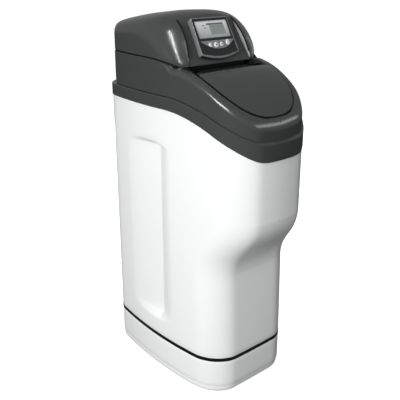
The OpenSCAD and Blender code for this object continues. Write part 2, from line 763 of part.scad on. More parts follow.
boot_r = 112;
boot_bore = 70;
module vessel_boot() {
    function dish(r) = vessel_z0 + dish_h - dish_h * sqrt(1 - pow(r / vessel_r, 2)) - 2 * seat_gap;
    color("black") at_vessel() rotate_extrude($fn = 96) polygon(concat(
        [[boot_bore, tub_floor], [boot_r, tub_floor]],
        [for (k = [0:6]) let (r = mix(boot_r, boot_bore, k / 6)) [r, dish(r)]]
    ));
}
riser_r = 13.5;
riser_low = vessel_z0 + vessel_wall + 16;
module riser_tube() {
    color("ivory") at_vessel() translate([0, 0, riser_low]) difference() {
        cylinder(r = riser_r, h = vessel_top + 12 - riser_low);
        translate([0, 0, -1]) cylinder(r = riser_r - 2.5, h = vessel_top + 20 - riser_low);
    }
}
strainer_r = 30;
low_strainer_h = 44;
strainer_floor = 6;
module lower_strainer() {
    color("ivory") at_vessel() translate([0, 0, riser_low - strainer_floor]) difference() {
        cylinder(r = strainer_r, h = low_strainer_h);
        translate([0, 0, strainer_floor - seat_gap]) cylinder(r = riser_r + bore_gap, h = low_strainer_h);
        for (a = [0:30:330], z = [10, 20, 30]) rotate([0, 0, a]) translate([24, -3, z]) cube([10, 6, 3]);
    }
}
top_strainer_h = 56;
module upper_strainer() {
    color("ivory") at_vessel() translate([0, 0, vessel_top - top_strainer_h]) difference() {
        cylinder(r = neck_r - vessel_wall - seat_gap, h = top_strainer_h);
        translate([0, 0, -1]) cylinder(r = riser_r + bore_gap, h = top_strainer_h + 2);
        for (a = [0:30:330], z = [8, 18, 28]) rotate([0, 0, a]) translate([29, -3, z]) cube([10, 6, 3]);
    }
}

// Control valve

adaptor_h = 26;
valve_z0 = vessel_top + adaptor_h;
valve_r = 34;
valve_y0 = vessel_y - 72;
valve_y1 = vessel_y + 34;
port_r = port_d / 2;
boss_r = port_r + 4.8;
bypass_y0 = vessel_y + 60;
bypass_y1 = bypass_y0 + 44;
bypass_mid = bypass_y0 + 22;
valve_half = port_pitch / 2 + 17;
module along_y(x, y, z) {
    translate([x, y, z]) rotate([-90, 0, 0]) children();
}
module tank_adaptor() {
    color("#2a2c2e") at_vessel() translate([0, 0, vessel_top]) difference() {
        union() {
            cylinder(r = 52, h = 14);
            cylinder(r = 46, h = adaptor_h);
        }
        translate([0, 0, -1]) cylinder(r = riser_r + bore_gap, h = adaptor_h + 2);
    }
}
brine_port_z = port_z - 10;
module valve_body() {
    color("#35373a") difference() {
        union() {
            at_vessel() translate([0, 0, valve_z0]) cylinder(r = 42, h = port_z - valve_z0);
            along_y(0, valve_y0, port_z) cylinder(r = valve_r, h = valve_y1 - valve_y0);
            translate([-valve_half, vessel_y - 28, port_z - 22]) cube([2 * valve_half, 56, 44]);
            for (s = [-1, 1]) along_y(s * port_pitch / 2, vessel_y, port_z)
                cylinder(r = boss_r, h = bypass_y0 - vessel_y);
        }
        for (s = [-1, 1]) along_y(s * port_pitch / 2, vessel_y, port_z)
            cylinder(r = port_r - 3, h = bypass_y0 - vessel_y + 1);
        translate([valve_half - 12, vessel_y, brine_port_z]) rotate([0, 90, 0])
            cylinder(r = elbow_r + seat_gap, h = 20);
        along_y(0, valve_y1 - 14, drain_z) cylinder(r = drain_d / 2 - tail_step + seat_gap, h = 20);
        along_y(0, valve_y0 - 1, port_z) cylinder(r = axle_r + bore_gap, h = 21);
    }
}
// The drive: a plate on the valve's front end, a motor behind it, and a pinion and gear before it
gear_m = 2;
gear_n = 36;
pinion_n = 16;
gear_pitch = gear_m * (gear_n + pinion_n) / 2;
gear_t = 8;
axle_r = 4;
shaft_r = 2.5;
bracket_t = 4;
bracket_y = valve_y0 - bracket_t;
bracket_half = gear_pitch + 20;
gear_y = bracket_y - 0.5 - gear_t;
module drive_bracket() {
    color("#55585b") difference() {
        translate([-bracket_half, bracket_y, port_z - 30]) cube([2 * bracket_half, bracket_t, 64]);
        along_y(0, bracket_y - 1, port_z) cylinder(r = axle_r + bore_gap, h = bracket_t + 2);
        along_y(-gear_pitch, bracket_y - 1, port_z) cylinder(r = shaft_r + bore_gap, h = bracket_t + 2);
    }
}
module gear_axle() {
    color("silver") union() {
        along_y(0, gear_y - 3, port_z) cylinder(r = axle_r, h = 3 + gear_t + 0.5 + bracket_t + 15);
        along_y(0, gear_y - 3, port_z) cylinder(r = axle_r + 3, h = 2.5);
    }
}
motor_r = 17;
module drive_motor() {
    color("slategray") difference() {
        along_y(-gear_pitch, valve_y0, port_z) cylinder(r = motor_r, h = 30);
        along_y(-gear_pitch, valve_y0 - 1, port_z) cylinder(r = shaft_r + bore_gap, h = 14);
    }
}
// A gear tooth's flank is an involute from the base circle to the tip
gear_slack = 0.25;
function involute(base, r) = r <= base ? 0 : let (a = acos(base / r)) tan(a) * 180 / PI - a;
function tooth(n) = let (rp = gear_m * n / 2, base = rp * cos(20),
    tip = rp + gear_m, root = rp - 1.25 * gear_m,
    half = 90 / n - gear_slack * 90 / (PI * rp) + involute(base, rp),
    flank = [for (k = [0:3]) let (r = mix(max(base, root), tip, k / 3)) [r, half - involute(base, r)]])
    concat([[root, half]], flank, [for (k = [3:-1:0]) [flank[k][0], -flank[k][1]]], [[root, -half]]);
module gear_face(n, turn) {
    one = tooth(n);
    polygon([for (k = [0:n - 1]) for (i = [len(one) - 1:-1:0])
        let (a = turn + one[i][1] + 360 * k / n) one[i][0] * [cos(a), sin(a)]]);
}
module drive_gear() {
    color("ivory") along_y(0, gear_y, port_z) difference() {
        linear_extrude(gear_t) gear_face(gear_n, 0);
        translate([0, 0, -1]) cylinder(r = axle_r + bore_gap, h = gear_t + 2);
        for (a = [0:60:300]) rotate([0, 0, a]) translate([gear_m * gear_n * 0.28, 0, -1])
            cylinder(r = 6, h = gear_t + 2);
    }
}
module motor_pinion() {
    color("ivory") along_y(-gear_pitch, gear_y, port_z) union() {
        linear_extrude(gear_t) gear_face(pinion_n, 180 / pinion_n);
        cylinder(r = shaft_r, h = gear_t + 0.5 + bracket_t + 12);
    }
}

// Bypass: two ways, a cross way, and a knob over each
knob_stem_r = 9;
knob_boss_r = 15;
cross_r = 9;
knob_r = 19;
knob_z = port_z + boss_r + 10;
knob_h = 9;
module bypass_body() {
    color("#35373a") difference() {
        union() {
            for (s = [-1, 1]) {
                along_y(s * port_pitch / 2, bypass_y0, port_z)
                    cylinder(r = boss_r, h = bypass_y1 - bypass_y0);
                translate([s * port_pitch / 2, bypass_mid, port_z])
                    cylinder(r = knob_boss_r, h = knob_z - port_z);
            }
            translate([-port_pitch / 2, bypass_mid, port_z]) rotate([0, 90, 0])
                cylinder(r = cross_r, h = port_pitch);
        }
        for (s = [-1, 1]) {
            translate([s * port_pitch / 2, bypass_mid, port_z - 2])
                cylinder(r = knob_stem_r + bore_gap, h = knob_z - port_z + 3);
            along_y(s * port_pitch / 2, bypass_y1 - 6, port_z) cylinder(r = port_r - 3, h = 7);
            along_y(s * port_pitch / 2, bypass_y0 - 1, port_z) cylinder(r = port_r - 3, h = 7);
        }
    }
}
module bypass_knob(x) {
    translate([x, bypass_mid, 0]) union() {
        translate([0, 0, port_z - 1]) cylinder(r = knob_stem_r, h = knob_z + 2 - port_z);
        translate([0, 0, knob_z + seat_gap]) cylinder(r = knob_r, h = knob_h);
        translate([-5, -knob_r + 1, knob_z + knob_h]) cube([10, 2 * knob_r - 2, 8]);
    }
}
module bypass_knob_in() { color("firebrick") bypass_knob(-port_pitch / 2); }
module bypass_knob_out() { color("royalblue") bypass_knob(port_pitch / 2); }

// Tails: a flanged tube held to each way of the bypass by a union nut
nut_t = 18;
nut_y = bypass_mid + knob_boss_r + seat_gap;
nut_r = boss_r + 4;
tail_flange = 3;
tail_out = 14;
tail_step = 0.4;
tail_y1 = back_y + tail_out;
module union_nuts() {
    color("#222426") for (s = [-1, 1]) along_y(s * port_pitch / 2, nut_y, port_z) difference() {
        cylinder(r = nut_r, h = nut_t);
        translate([0, 0, -1]) cylinder(r = boss_r + seat_gap, h = bypass_y1 - nut_y + tail_flange + 1);
        translate([0, 0, -1]) cylinder(r = port_r + seat_gap, h = nut_t + 2);
    }
}
module port_tail(x) {
    along_y(x, bypass_y1, port_z) difference() {
        union() {
            cylinder(r = boss_r - seat_gap, h = tail_flange - seat_gap);
            cylinder(r = port_r - tail_step, h = nut_y + nut_t + 1 - bypass_y1);
            translate([0, 0, nut_y + nut_t + 1 - bypass_y1])
                cylinder(r = port_r, h = tail_y1 - nut_y - nut_t - 1);
        }
        translate([0, 0, -1]) cylinder(r = port_r - 3, h = tail_y1 - bypass_y1 + 2);
    }
}
module inlet_tail() { color("goldenrod") port_tail(-port_pitch / 2); }
module outlet_tail() { color("goldenrod") port_tail(port_pitch / 2); }

// Drain: a straight tail from the valve's rear end, over the bypass, with a spigot for a hose
drain_flange_r = 9;
drain_end = 24;
module drain_tail() {
    pipe_r = drain_d / 2 - tail_step;
    color("dimgray") difference() {
        union() {
            along_y(0, valve_y1 - 12, drain_z)
                cylinder(r = pipe_r, h = tail_y1 - drain_end - valve_y1 + 12.5);
            along_y(0, valve_y1, drain_z) cylinder(r = drain_flange_r, h = 5);
            along_y(0, tail_y1 - drain_end, drain_z) cylinder(r = drain_d / 2, h = drain_end);
        }
        along_y(0, valve_y1 - 13, drain_z) cylinder(r = drain_d / 2 - 2.2, h = tail_y1 - valve_y1 + 14);
    }
}

// Brine line: from the valve's side, forward, down, and into the brine well's valve
well_r = well_d / 2;
well_in = 78;
well_x = half_w - well_in;
well_y = low_front_y + 79;
line_r = line_d / 2;
line_bend = 18;
line_drop_y = -6;
line_down = 54;
line_low_z = well_top - line_down;
elbow_r = line_r + 3;
elbow_seat_x = port_pitch / 2 + boss_r + seat_gap;
elbow_x1 = elbow_seat_x + 11;
socket = 9;
line_x0 = elbow_x1 - socket;
line_run = 5.7;
line_x = line_x0 + line_run + line_bend;
spout_x = line_x - well_x;
line_y1 = well_y + 30;
module brine_elbow() {
    color("dimgray") difference() {
        union() {
            translate([valve_half - 11, vessel_y, brine_port_z]) rotate([0, 90, 0])
                cylinder(r = elbow_r, h = elbow_x1 - valve_half + 11);
            translate([elbow_seat_x, vessel_y, brine_port_z]) rotate([0, 90, 0])
                cylinder(r = elbow_r + 2.5, h = 6);
        }
        translate([line_x0, vessel_y, brine_port_z]) rotate([0, 90, 0])
            cylinder(r = line_r + seat_gap, h = 30);
    }
}
module quarter(r) {
    rotate_extrude(angle = 90) translate([line_bend, 0]) circle(r = r);
}
module brine_line() {
    x = line_x;
    z = brine_port_z;
    color("ivory") union() {
        translate([line_x0, vessel_y, z]) rotate([0, 90, 0])
            cylinder(r = line_r, h = x - line_bend - line_x0);
        translate([x - line_bend, vessel_y - line_bend, z]) quarter(line_r);
        along_y(x, line_drop_y + line_bend, z)
            cylinder(r = line_r, h = vessel_y - 2 * line_bend - line_drop_y);
        translate([x, line_drop_y + line_bend, z - line_bend]) rotate([0, -90, 0])
            rotate([0, 0, -90]) quarter(line_r);
        translate([x, line_drop_y, line_low_z + line_bend])
            cylinder(r = line_r, h = z - line_low_z - 2 * line_bend);
        translate([x, line_drop_y - line_bend, line_low_z + line_bend]) rotate([0, -90, 0])
            rotate([0, 0, 90]) quarter(line_r);
        along_y(x, line_y1, line_low_z) cylinder(r = line_r, h = line_drop_y - line_bend - line_y1);
    }
}

// Brine well, with its valve, air check and float

module at_well() {
    translate([well_x, well_y, 0]) children();
}
slot_n = 10;
spout_r = line_r + 3;
module brine_well() {
    color("gainsboro") at_well() difference() {
        translate([0, 0, tub_floor]) cylinder(r = well_r, h = well_top - tub_floor);
        translate([0, 0, tub_floor - 1]) cylinder(r = well_r - well_wall, h = well_top - tub_floor + 2);
        for (k = [0:slot_n - 1], z = [14, 60]) rotate([0, 0, k * 360 / slot_n])
            translate([0, -3, tub_floor + z]) cube([well_r + 2, 6, 34]);
        translate([spout_x, 0, line_low_z]) rotate([-90, 0, 0]) cylinder(r = spout_r + 1.5, h = well_r + 2);
    }
}
cap_skirt = 12;
module well_cap() {
    color("gainsboro") at_well() translate([0, 0, well_top - cap_skirt]) difference() {
        cylinder(r = well_r + 3, h = cap_skirt + 4);
        translate([0, 0, -1]) cylinder(r = well_r + seat_gap, h = cap_skirt + 1);
    }
}
check_r = 7;
valve_low = line_low_z - 16;
rod_x = -25;
rod2_r = 2.5;
module brine_valve() {
    color("#4a4c4f") at_well() difference() {
        union() {
            translate([0, 0, valve_low]) cylinder(r = 17, h = 32);
            translate([spout_x, 0, line_low_z]) rotate([-90, 0, 0]) cylinder(r = spout_r, h = well_r + 3);
            translate([rod_x - 6, -6, valve_low]) cube([-rod_x, 12, 10]);
            translate([0, -17, valve_low]) rotate([90, 0, 0]) translate([0, 8, -4])
                cylinder(r = 6, h = well_r - well_wall - 17 + 4 - seat_gap);
        }
        translate([spout_x, line_y1 - well_y - seat_gap, line_low_z]) rotate([-90, 0, 0])
            cylinder(r = line_r + seat_gap, h = 60);
        translate([rod_x, 0, valve_low - 1]) cylinder(r = rod2_r + bore_gap, h = 20);
        translate([0, 0, valve_low - 1]) cylinder(r = check_r + bore_gap, h = 13);
    }
}
float_z = 330;
float_h = 64;
float_r = 34;
check_low = tub_floor;
module air_check() {
    color("lightgray") at_well() union() {
        translate([0, 0, check_low]) cylinder(r = 15, h = 50);
        translate([0, 0, check_low + 40]) cylinder(r = check_r, h = valve_low + 11 - check_low - 40);
        translate([0, 0, float_z - seat_gap - 8]) cylinder(r = check_r + 6, h = 8);
    }
}
module float_assembly() {
    color("orange") at_well() difference() {
        union() {
            translate([0, 0, float_z]) cylinder(r = float_r, h = float_h);
            translate([rod_x, 0, float_z + float_h - 2])
                cylinder(r = rod2_r, h = valve_low + 12 - float_z - float_h + 2);
        }
        translate([0, 0, float_z - 1]) cylinder(r = check_r + slide_gap, h = float_h + 2);
    }
}

// Drawing

plinth();
foot_pads();
base_tray();
seam_strip();
cabinet_tub();
overflow_elbow();
overflow_nut();
rim_collar();
top_cover();
hinge_deck();
hinge_rod();
salt_lid();
lid_arms();
control_hood();
display_bezel();
display_window();
lcd_module();
keypad_plate();
circuit_board();
board_screws();
key_menu();
key_set();
key_clock();
key_rocker();
vessel_boot();
resin_vessel();
riser_tube();
lower_strainer();
upper_strainer();
tank_adaptor();
valve_body();
drive_bracket();
drive_motor();
motor_pinion();
drive_gear();
gear_axle();
bypass_body();
bypass_knob_in();
bypass_knob_out();
union_nuts();
inlet_tail();
outlet_tail();
drain_tail();
brine_elbow();
brine_line();
brine_well();
well_cap();
brine_valve();
air_check();
float_assembly();
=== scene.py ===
# Cabinet water softener: the looks of its pieces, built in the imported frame, in metres.
# The sections follow the object from the floor up: cabinet, top, lid, hood, display, then what is inside.

import json
import math

import bpy
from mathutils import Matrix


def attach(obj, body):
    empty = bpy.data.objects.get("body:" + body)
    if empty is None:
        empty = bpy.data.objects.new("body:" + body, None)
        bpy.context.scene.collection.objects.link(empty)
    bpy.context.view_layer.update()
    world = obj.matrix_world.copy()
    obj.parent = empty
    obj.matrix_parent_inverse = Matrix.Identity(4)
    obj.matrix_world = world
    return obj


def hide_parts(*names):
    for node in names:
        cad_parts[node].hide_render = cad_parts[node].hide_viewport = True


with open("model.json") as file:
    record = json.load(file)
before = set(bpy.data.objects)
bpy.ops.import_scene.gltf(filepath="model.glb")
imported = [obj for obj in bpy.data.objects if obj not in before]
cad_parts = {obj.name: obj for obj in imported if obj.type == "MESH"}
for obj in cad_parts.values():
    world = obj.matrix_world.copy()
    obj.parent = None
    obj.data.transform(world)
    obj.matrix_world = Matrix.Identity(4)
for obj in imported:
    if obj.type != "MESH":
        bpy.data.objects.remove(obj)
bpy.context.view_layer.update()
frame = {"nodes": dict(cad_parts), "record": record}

# Cabinet
# A tall tub, blow moulded in one piece from white polyethylene with a glossy skin. Its sides bow, each
# has a hollow flute as a hand hold, and its front steps back near the floor. It nests in the base tray.

MM = 0.001
half_w, front_y, back_y = 160, -268, 268
side_bow, front_bow = 24, 18
front_r, back_r = 80, 56
wide_y, crown_y = 32, -15
low_front_y, low_front_r, low_front_bow = -199, 77, 3
toe_z0, toe_z1, toe_crease, low_draft = 352, 507, 0.3, 0.11
flute_front, flute_corner, flute_back, flute_deep = -42, 20, 148, 17
flute_low, flute_high = 158, 677
flute_arch, flute_foot, flute_head, foot_end = 13, 24, 12, 26
tub_z, tub_wall, nest_in, edge_h, toe_edge = 24, 4, 6, 1.6, 0.8
strip_z0, strip_z1 = 101.4, 111.2
rim_back, rim_drop = 764, 101
collar_back, collar_front, flange_t = 31, 43, 5
overflow_x, overflow_z, overflow_r = -72, 640, 9.3


def mix(a, b, t):
    return a + (b - a) * t


def clamp(v, low=0.0, high=1.0):
    return max(low, min(high, v))


def quarter(steps, first=0):
    """Sine and cosine of the angles that share out a quarter turn in steps."""
    turns = [math.radians(90 * k / steps) for k in range(first, steps + 1)]
    return [(math.sin(a), math.cos(a)) for a in turns]


def fall(y):
    return clamp((crown_y - y) / (crown_y - front_y)) ** 2


def rim_z(y):
    return rim_back - rim_drop * fall(y)


def collar_z(y):
    return rim_z(y) + mix(collar_back, collar_front, fall(y))


def flute_share(y):
    """How much of a flute's depth is reached at y: it sinks slowly from behind and turns back in a crease."""
    if y < flute_corner:
        return clamp((y - flute_front) / (flute_corner - flute_front)) ** 2
    return clamp((flute_back - y) / (flute_back - flute_corner)) ** 1.25


def plan(front, corner_r, bow, inset=0.0, flute=0.0, back_corner=back_r):
    """The cabinet's outline seen from above, as (x, y, y before the bow), from the middle of the front."""
    w, f, b = half_w - inset, front + inset, back_y - inset
    rf, rb = corner_r - inset, back_corner - inset
    fine_y0, fine_y1, fine_step = -45, 160, 2.5
    half = [((w - rf) * k / 8, f) for k in range(8)]
    half += [(w - rf + rf * s, f + rf - rf * c) for s, c in quarter(18)]
    half += [(w, mix(f + rf, fine_y0, k / 24)) for k in range(1, 25)]
    fine = int((fine_y1 - fine_y0) / fine_step)
    half += [(w, fine_y0 + fine_step * k) for k in range(1, fine + 1)]
    half += [(w, mix(fine_y1, b - rb, k / 8)) for k in range(1, 9)]
    half += [(w - rb + rb * c, b - rb + rb * s) for s, c in quarter(16, 1)]
    half += [((w - rb) * (1 - k / 8), b) for k in range(1, 9)]
    loop = half + [(-x, y) for x, y in half[-2:0:-1]]
    bowed = []
    for x, y in loop:
        x -= math.copysign(flute * flute_share(y), x) if x else 0
        bx = x * (1 - side_bow / half_w * ((y - wide_y) / (back_y - wide_y)) ** 2)
        by = y + bow * (x / half_w) ** 2 * clamp((wide_y - y) / (wide_y - front))
        bowed.append((bx, by, y))
    return bowed


def metres(points):
    return [(x * MM, y * MM, z * MM) for x, y, z in points]


def edit_mesh(step, **settings):
    """Runs one editing step on the whole mesh of the active piece."""
    bpy.ops.object.mode_set(mode="EDIT")
    bpy.ops.mesh.select_all(action="SELECT")
    step(**settings)
    bpy.ops.object.mode_set(mode="OBJECT")


def wrap(name, rings, round_trip=True):
    """Lays a flat grid over a row of rings and closes its seam."""
    rows, cols = len(rings), len(rings[0]) + (1 if round_trip else 0)
    bpy.ops.object.select_all(action="DESELECT")
    bpy.ops.mesh.primitive_grid_add(x_subdivisions=cols - 1, y_subdivisions=rows - 1, size=1)
    piece = bpy.context.object
    piece.name = name
    for v in piece.data.vertices:
        col = round((v.co.x + 0.5) * (cols - 1))
        row = round((v.co.y + 0.5) * (rows - 1))
        v.co = rings[row][col % len(rings[0])]
    edit_mesh(bpy.ops.mesh.remove_doubles, threshold=1e-6)
    return piece


def pick(piece):
    bpy.ops.object.select_all(action="DESELECT")
    piece.select_set(True)
    bpy.context.view_layer.objects.active = piece


def apply_modifier(piece, kind, **settings):
    modifier = piece.modifiers.new(kind.lower(), kind)
    for key, value in settings.items():
        setattr(modifier, key, value)
    bpy.context.view_layer.objects.active = piece
    bpy.ops.object.modifier_apply(modifier=modifier.name)


def cut(piece, cutter):
    """Takes the cutter's shape out of a piece, and removes the cutter."""
    apply_modifier(piece, "BOOLEAN", operation="DIFFERENCE", solver="EXACT", object=cutter)
    bpy.data.objects.remove(cutter)


def shade(piece, degrees=35):
    pick(piece)
    bpy.ops.object.shade_smooth_by_angle(angle=math.radians(degrees))


def blend_plan(t, inset=0.0, flute=0.0):
    front = mix(low_front_y, front_y, t)
    corner = mix(low_front_r, front_r, t)
    return plan(front, corner, mix(low_front_bow, front_bow, t), inset, flute)


def arch(y):
    """0 in the middle of a flute and 1 at and past its ends, for its curved head and foot."""
    return clamp(abs(2 * (y - flute_front) / (flute_back - flute_front) - 1) ** 2.4)


def tub_ring(t, flute, z, inset=0.0):
    """A ring of the tub, where z is a number or a function of y before the bow and y after it."""
    outline = blend_plan(t, inset, flute)
    return metres((x, y, z(flat_y, y) if callable(z) else z) for x, y, flat_y in outline)


def toe_share(z):
    """0 on the lower front and 1 on the upper: it leans back as it rises, then steps out in an S."""
    if z < toe_z0:
        return -low_draft * (z - strip_z1) / (toe_z0 - strip_z1)
    u = clamp((z - toe_z0) / (toe_z1 - toe_z0))
    s_curve = u**3 * (10 - 15 * u + 6 * u * u)
    return mix(-low_draft, 1, mix(s_curve, u, toe_crease))


def flute_foot_z(flat_y):
    return flute_low + flute_arch * arch(flat_y)


def flute_head_z(flat_y):
    return flute_high - flute_arch * arch(flat_y)


def tub_top_z(y):
    return collar_z(y) - flange_t - 0.3


tub_rings = [
    tub_ring(0, 0, tub_z, nest_in + 3),
    tub_ring(0, 0, tub_z + 3, nest_in),
    tub_ring(0, 0, strip_z1 - 0.1, nest_in),
    tub_ring(0, 0, strip_z1, 1.6),
    tub_ring(0, 0, strip_z1 + 0.4, 0.5),
    tub_ring(0, 0, strip_z1 + edge_h),
]
for k in range(1, 5):
    t = toe_share(mix(strip_z1, flute_low, k / 4))
    tub_rings.append(tub_ring(t, 0, lambda fy, y: mix(strip_z1 + edge_h, flute_foot_z(fy) - 1.5, k / 4)))
for share, up in ((0.02, 0), (0.07, 0.07), (0.25, 0.25), (0.5, 0.5), (0.75, 0.75), (0.95, 0.94), (1, 1.03)):
    t = toe_share(flute_low + flute_foot * up)
    tub_rings.append(tub_ring(t, flute_deep * share, lambda fy, y: flute_foot_z(fy) + flute_foot * up))
for k in range(1, 9):
    t = toe_share(mix(flute_low + foot_end, toe_z0, k / 8) - 0.01)
    tub_rings.append(tub_ring(t, flute_deep, lambda fy, y: mix(flute_foot_z(fy) + foot_end, toe_z0, k / 8)))
toe_heights = [toe_z0 + 1] + [mix(toe_z0, toe_z1, k / 32) for k in range(1, 32)]
toe_heights += [toe_z1 - toe_edge, toe_z1, toe_z1 + toe_edge]
tub_rings += [tub_ring(toe_share(z), flute_deep, z) for z in toe_heights]
for k in range(1, 7):
    tub_rings.append(
        tub_ring(1, flute_deep, lambda fy, y: mix(toe_z1 + toe_edge, flute_head_z(fy) - flute_head - 1, k / 6))
    )
for share, down in ((0.97, 0.95), (0.8, 0.77), (0.5, 0.5), (0.2, 0.23), (0.04, 0.07), (0, -0.05)):
    tub_rings.append(tub_ring(1, flute_deep * share, lambda fy, y: flute_head_z(fy) - flute_head * down))
for k in range(1, 9):
    tub_rings.append(tub_ring(1, 0, lambda fy, y: mix(flute_head_z(fy) + 0.6, tub_top_z(y), k / 8)))

tub = wrap("cabinet_tub_shell", tub_rings)
bpy.ops.object.mode_set(mode="EDIT")
bpy.ops.mesh.select_all(action="DESELECT")
bpy.ops.object.mode_set(mode="OBJECT")
for v in tub.data.vertices:
    v.select = v.co.z < (tub_z + 0.5) * MM
bpy.ops.object.mode_set(mode="EDIT")
bpy.ops.mesh.select_mode(type="VERT")
bpy.ops.mesh.edge_face_add()
bpy.ops.object.mode_set(mode="OBJECT")
edit_mesh(bpy.ops.mesh.normals_make_consistent, inside=False)
apply_modifier(tub, "SOLIDIFY", thickness=tub_wall * MM, offset=-1, use_even_offset=False)
bpy.ops.object.select_all(action="DESELECT")
bpy.ops.mesh.primitive_cylinder_add(
    vertices=48,
    radius=overflow_r * MM,
    depth=40 * MM,
    location=(overflow_x * MM, back_y * MM, overflow_z * MM),
    rotation=(math.radians(90), 0, 0),
)
cut(tub, bpy.context.object)
shade(tub, 30)


def linear(hex_colour):
    """A colour written as sRGB hex, as the linear RGBA that a shader takes."""
    channels = [int(hex_colour[i : i + 2], 16) / 255 for i in (1, 3, 5)]
    return [c / 12.92 if c <= 0.04045 else ((c + 0.055) / 1.055) ** 2.4 for c in channels] + [1.0]


def new_material(name):
    material = bpy.data.materials.new(name)
    material.use_nodes = True
    return material, material.node_tree, material.node_tree.nodes["Principled BSDF"]


def add_node(tree, kind, settings=None, **links):
    """Adds a node, sets its own settings, and gives each named input a value or a link."""
    node = tree.nodes.new(kind)
    for key, value in (settings or {}).items():
        setattr(node, key, value)
    for key, value in links.items():
        socket = node.inputs[int(key[1:])] if key[0] == "_" else node.inputs[key.replace("_", " ")]
        if isinstance(value, bpy.types.NodeSocket):
            tree.links.new(value, socket)
        else:
            socket.default_value = value
    return node


def object_place(tree):
    return add_node(tree, "ShaderNodeTexCoord").outputs["Object"]


def noise(tree, place, size_mm, detail=2.0):
    grains = add_node(tree, "ShaderNodeTexNoise", Vector=place, Scale=1 / (size_mm * MM), Detail=detail)
    return grains.outputs["Fac"]


def two_tone(tree, shader, share, first, second):
    """Colours a shader with a share of two tones, each a linear colour or a socket."""
    tone = add_node(tree, "ShaderNodeMix", {"data_type": "RGBA"}, _0=share, _6=first, _7=second)
    tree.links.new(tone.outputs[2], shader.inputs["Base Color"])


def vary(tree, shader, name, share, low, high):
    """Lets a share drive one of a shader's inputs between two values."""
    span = add_node(tree, "ShaderNodeMapRange", Value=share, To_Min=low, To_Max=high)
    tree.links.new(span.outputs["Result"], shader.inputs[name])


def emboss(tree, shader, height, strength, relief_mm):
    bump = add_node(tree, "ShaderNodeBump", Height=height, Strength=strength, Distance=relief_mm * MM)
    tree.links.new(bump.outputs["Normal"], shader.inputs["Normal"])


def moulded(name, colour, shade_colour, rough=0.35, grain_mm=1.2, relief_mm=0.02, mottle_mm=120, ior=1.5):
    """A moulded plastic: two close tones that drift over the piece, and a fine skin of the mould's grain."""
    material, tree, shader = new_material(name)
    place = object_place(tree)
    two_tone(tree, shader, noise(tree, place, mottle_mm, 3.0), linear(colour), linear(shade_colour))
    grain = noise(tree, place, grain_mm)
    vary(tree, shader, "Roughness", grain, rough - 0.04, rough + 0.05)
    emboss(tree, shader, grain, 0.35, relief_mm)
    shader.inputs["IOR"].default_value = ior
    return material


def dress(piece, material, body="cabinet", stands_for=()):
    """Gives a finished piece its material, its body, and the CAD nodes that it stands for."""
    piece.data.materials.clear()
    piece.data.materials.append(material)
    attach(piece, body)
    if stands_for:
        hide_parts(*stands_for)


# Blow-moulded polyethylene: bright white, softly glossy, with the faint waviness of a blown skin.
white_shell = moulded("white_blown_polyethylene", "#f3f4f4", "#eeefef", 0.3, 6, 0.05, 240)
dress(tub, white_shell, "cabinet", ["cabinet_tub"])

# Base tray, plinth and seam strip
# The tray is a deep white dish that the cabinet stands in, on a plinth with a rolled edge that stands back a
# little under a shadow gap. A black extruded strip closes the seam between tray and cabinet.

tray_z, tray_wall, tray_floor, lip_z, lip_in = 20, 5.5, 4, 23.5, 10.2


def lower_plan(inset=0.0):
    return plan(low_front_y, low_front_r, low_front_bow, inset)


def ring(outline, z):
    """An outline lifted to z millimetres, where z is a number or a function of y, as points in metres."""
    return metres((p[0], p[1], z(p[1]) if callable(z) else z) for p in outline)


def solid(name, rings, round_trip=True):
    """A wrapped piece with each open edge loop closed by one face, and all faces turned outwards."""
    piece = wrap(name, rings, round_trip)
    edit_mesh(bpy.ops.mesh.fill_holes, sides=0)
    edit_mesh(bpy.ops.mesh.normals_make_consistent, inside=False)
    return piece


tray_outer = [(lip_in, tray_z), (lip_in, lip_z), (1.5, lip_z), (0.9, lip_z + 0.2), (0.3, lip_z + 0.8)]
tray_outer += [(0, mix(lip_z + edge_h, strip_z0 - edge_h, k / 6)) for k in range(7)]
tray_outer += [(0.5, strip_z0 - 0.4), (1.6, strip_z0), (tray_wall, strip_z0)]
tray_outer += [(tray_wall, tray_z + tray_floor + 2), (tray_wall + 2, tray_z + tray_floor)]
tray = solid("base_tray_dish", [ring(lower_plan(inset), z) for inset, z in tray_outer])
shade(tray)
dress(tray, white_shell, "cabinet", ["base_tray"])

pad_h, plinth_w, plinth_round, plinth_side_in, plinth_front_in = 3, 40, 9, 1.5, 3.5
plinth_z, plinth_step, plinth_edge = lip_z - 2.6, lip_in - 0.3, 0.8
plinth_turn_y, plinth_turn_run = 90, 60


def smooth(t):
    c = clamp(t)
    return c * c * (3 - 2 * c)


def ramp(v, start, run):
    """An eased rise from 0 at start to 1 a run further on."""
    return smooth((v - start) / run)


def plinth_ring(extra, z):
    """A ring of the plinth, set back by one amount at the sides and by another at the front."""
    side, front = lower_plan(plinth_side_in + extra), lower_plan(plinth_front_in + extra)
    shares = [ramp(-p[1], plinth_turn_y, plinth_turn_run) for p in lower_plan()]
    return metres((mix(a[0], b[0], t), mix(a[1], b[1], t), z) for t, a, b in zip(shares, side, front))


plinth_rings = [ring(lower_plan(plinth_w), pad_h)]
for s, c in quarter(8)[::-1]:
    plinth_rings.append(plinth_ring(plinth_round * (1 - c), pad_h + plinth_round * (1 - s)))
plinth_rings += [plinth_ring(0, plinth_z - plinth_edge), plinth_ring(plinth_edge, plinth_z)]
plinth_rings += [ring(lower_plan(plinth_step), z) for z in (plinth_z, tray_z)]
plinth_rings += [ring(lower_plan(plinth_w), tray_z), plinth_rings[0]]
plinth = solid("plinth_skirt", plinth_rings)
shade(plinth)
dress(plinth, white_shell, "cabinet", ["plinth"])

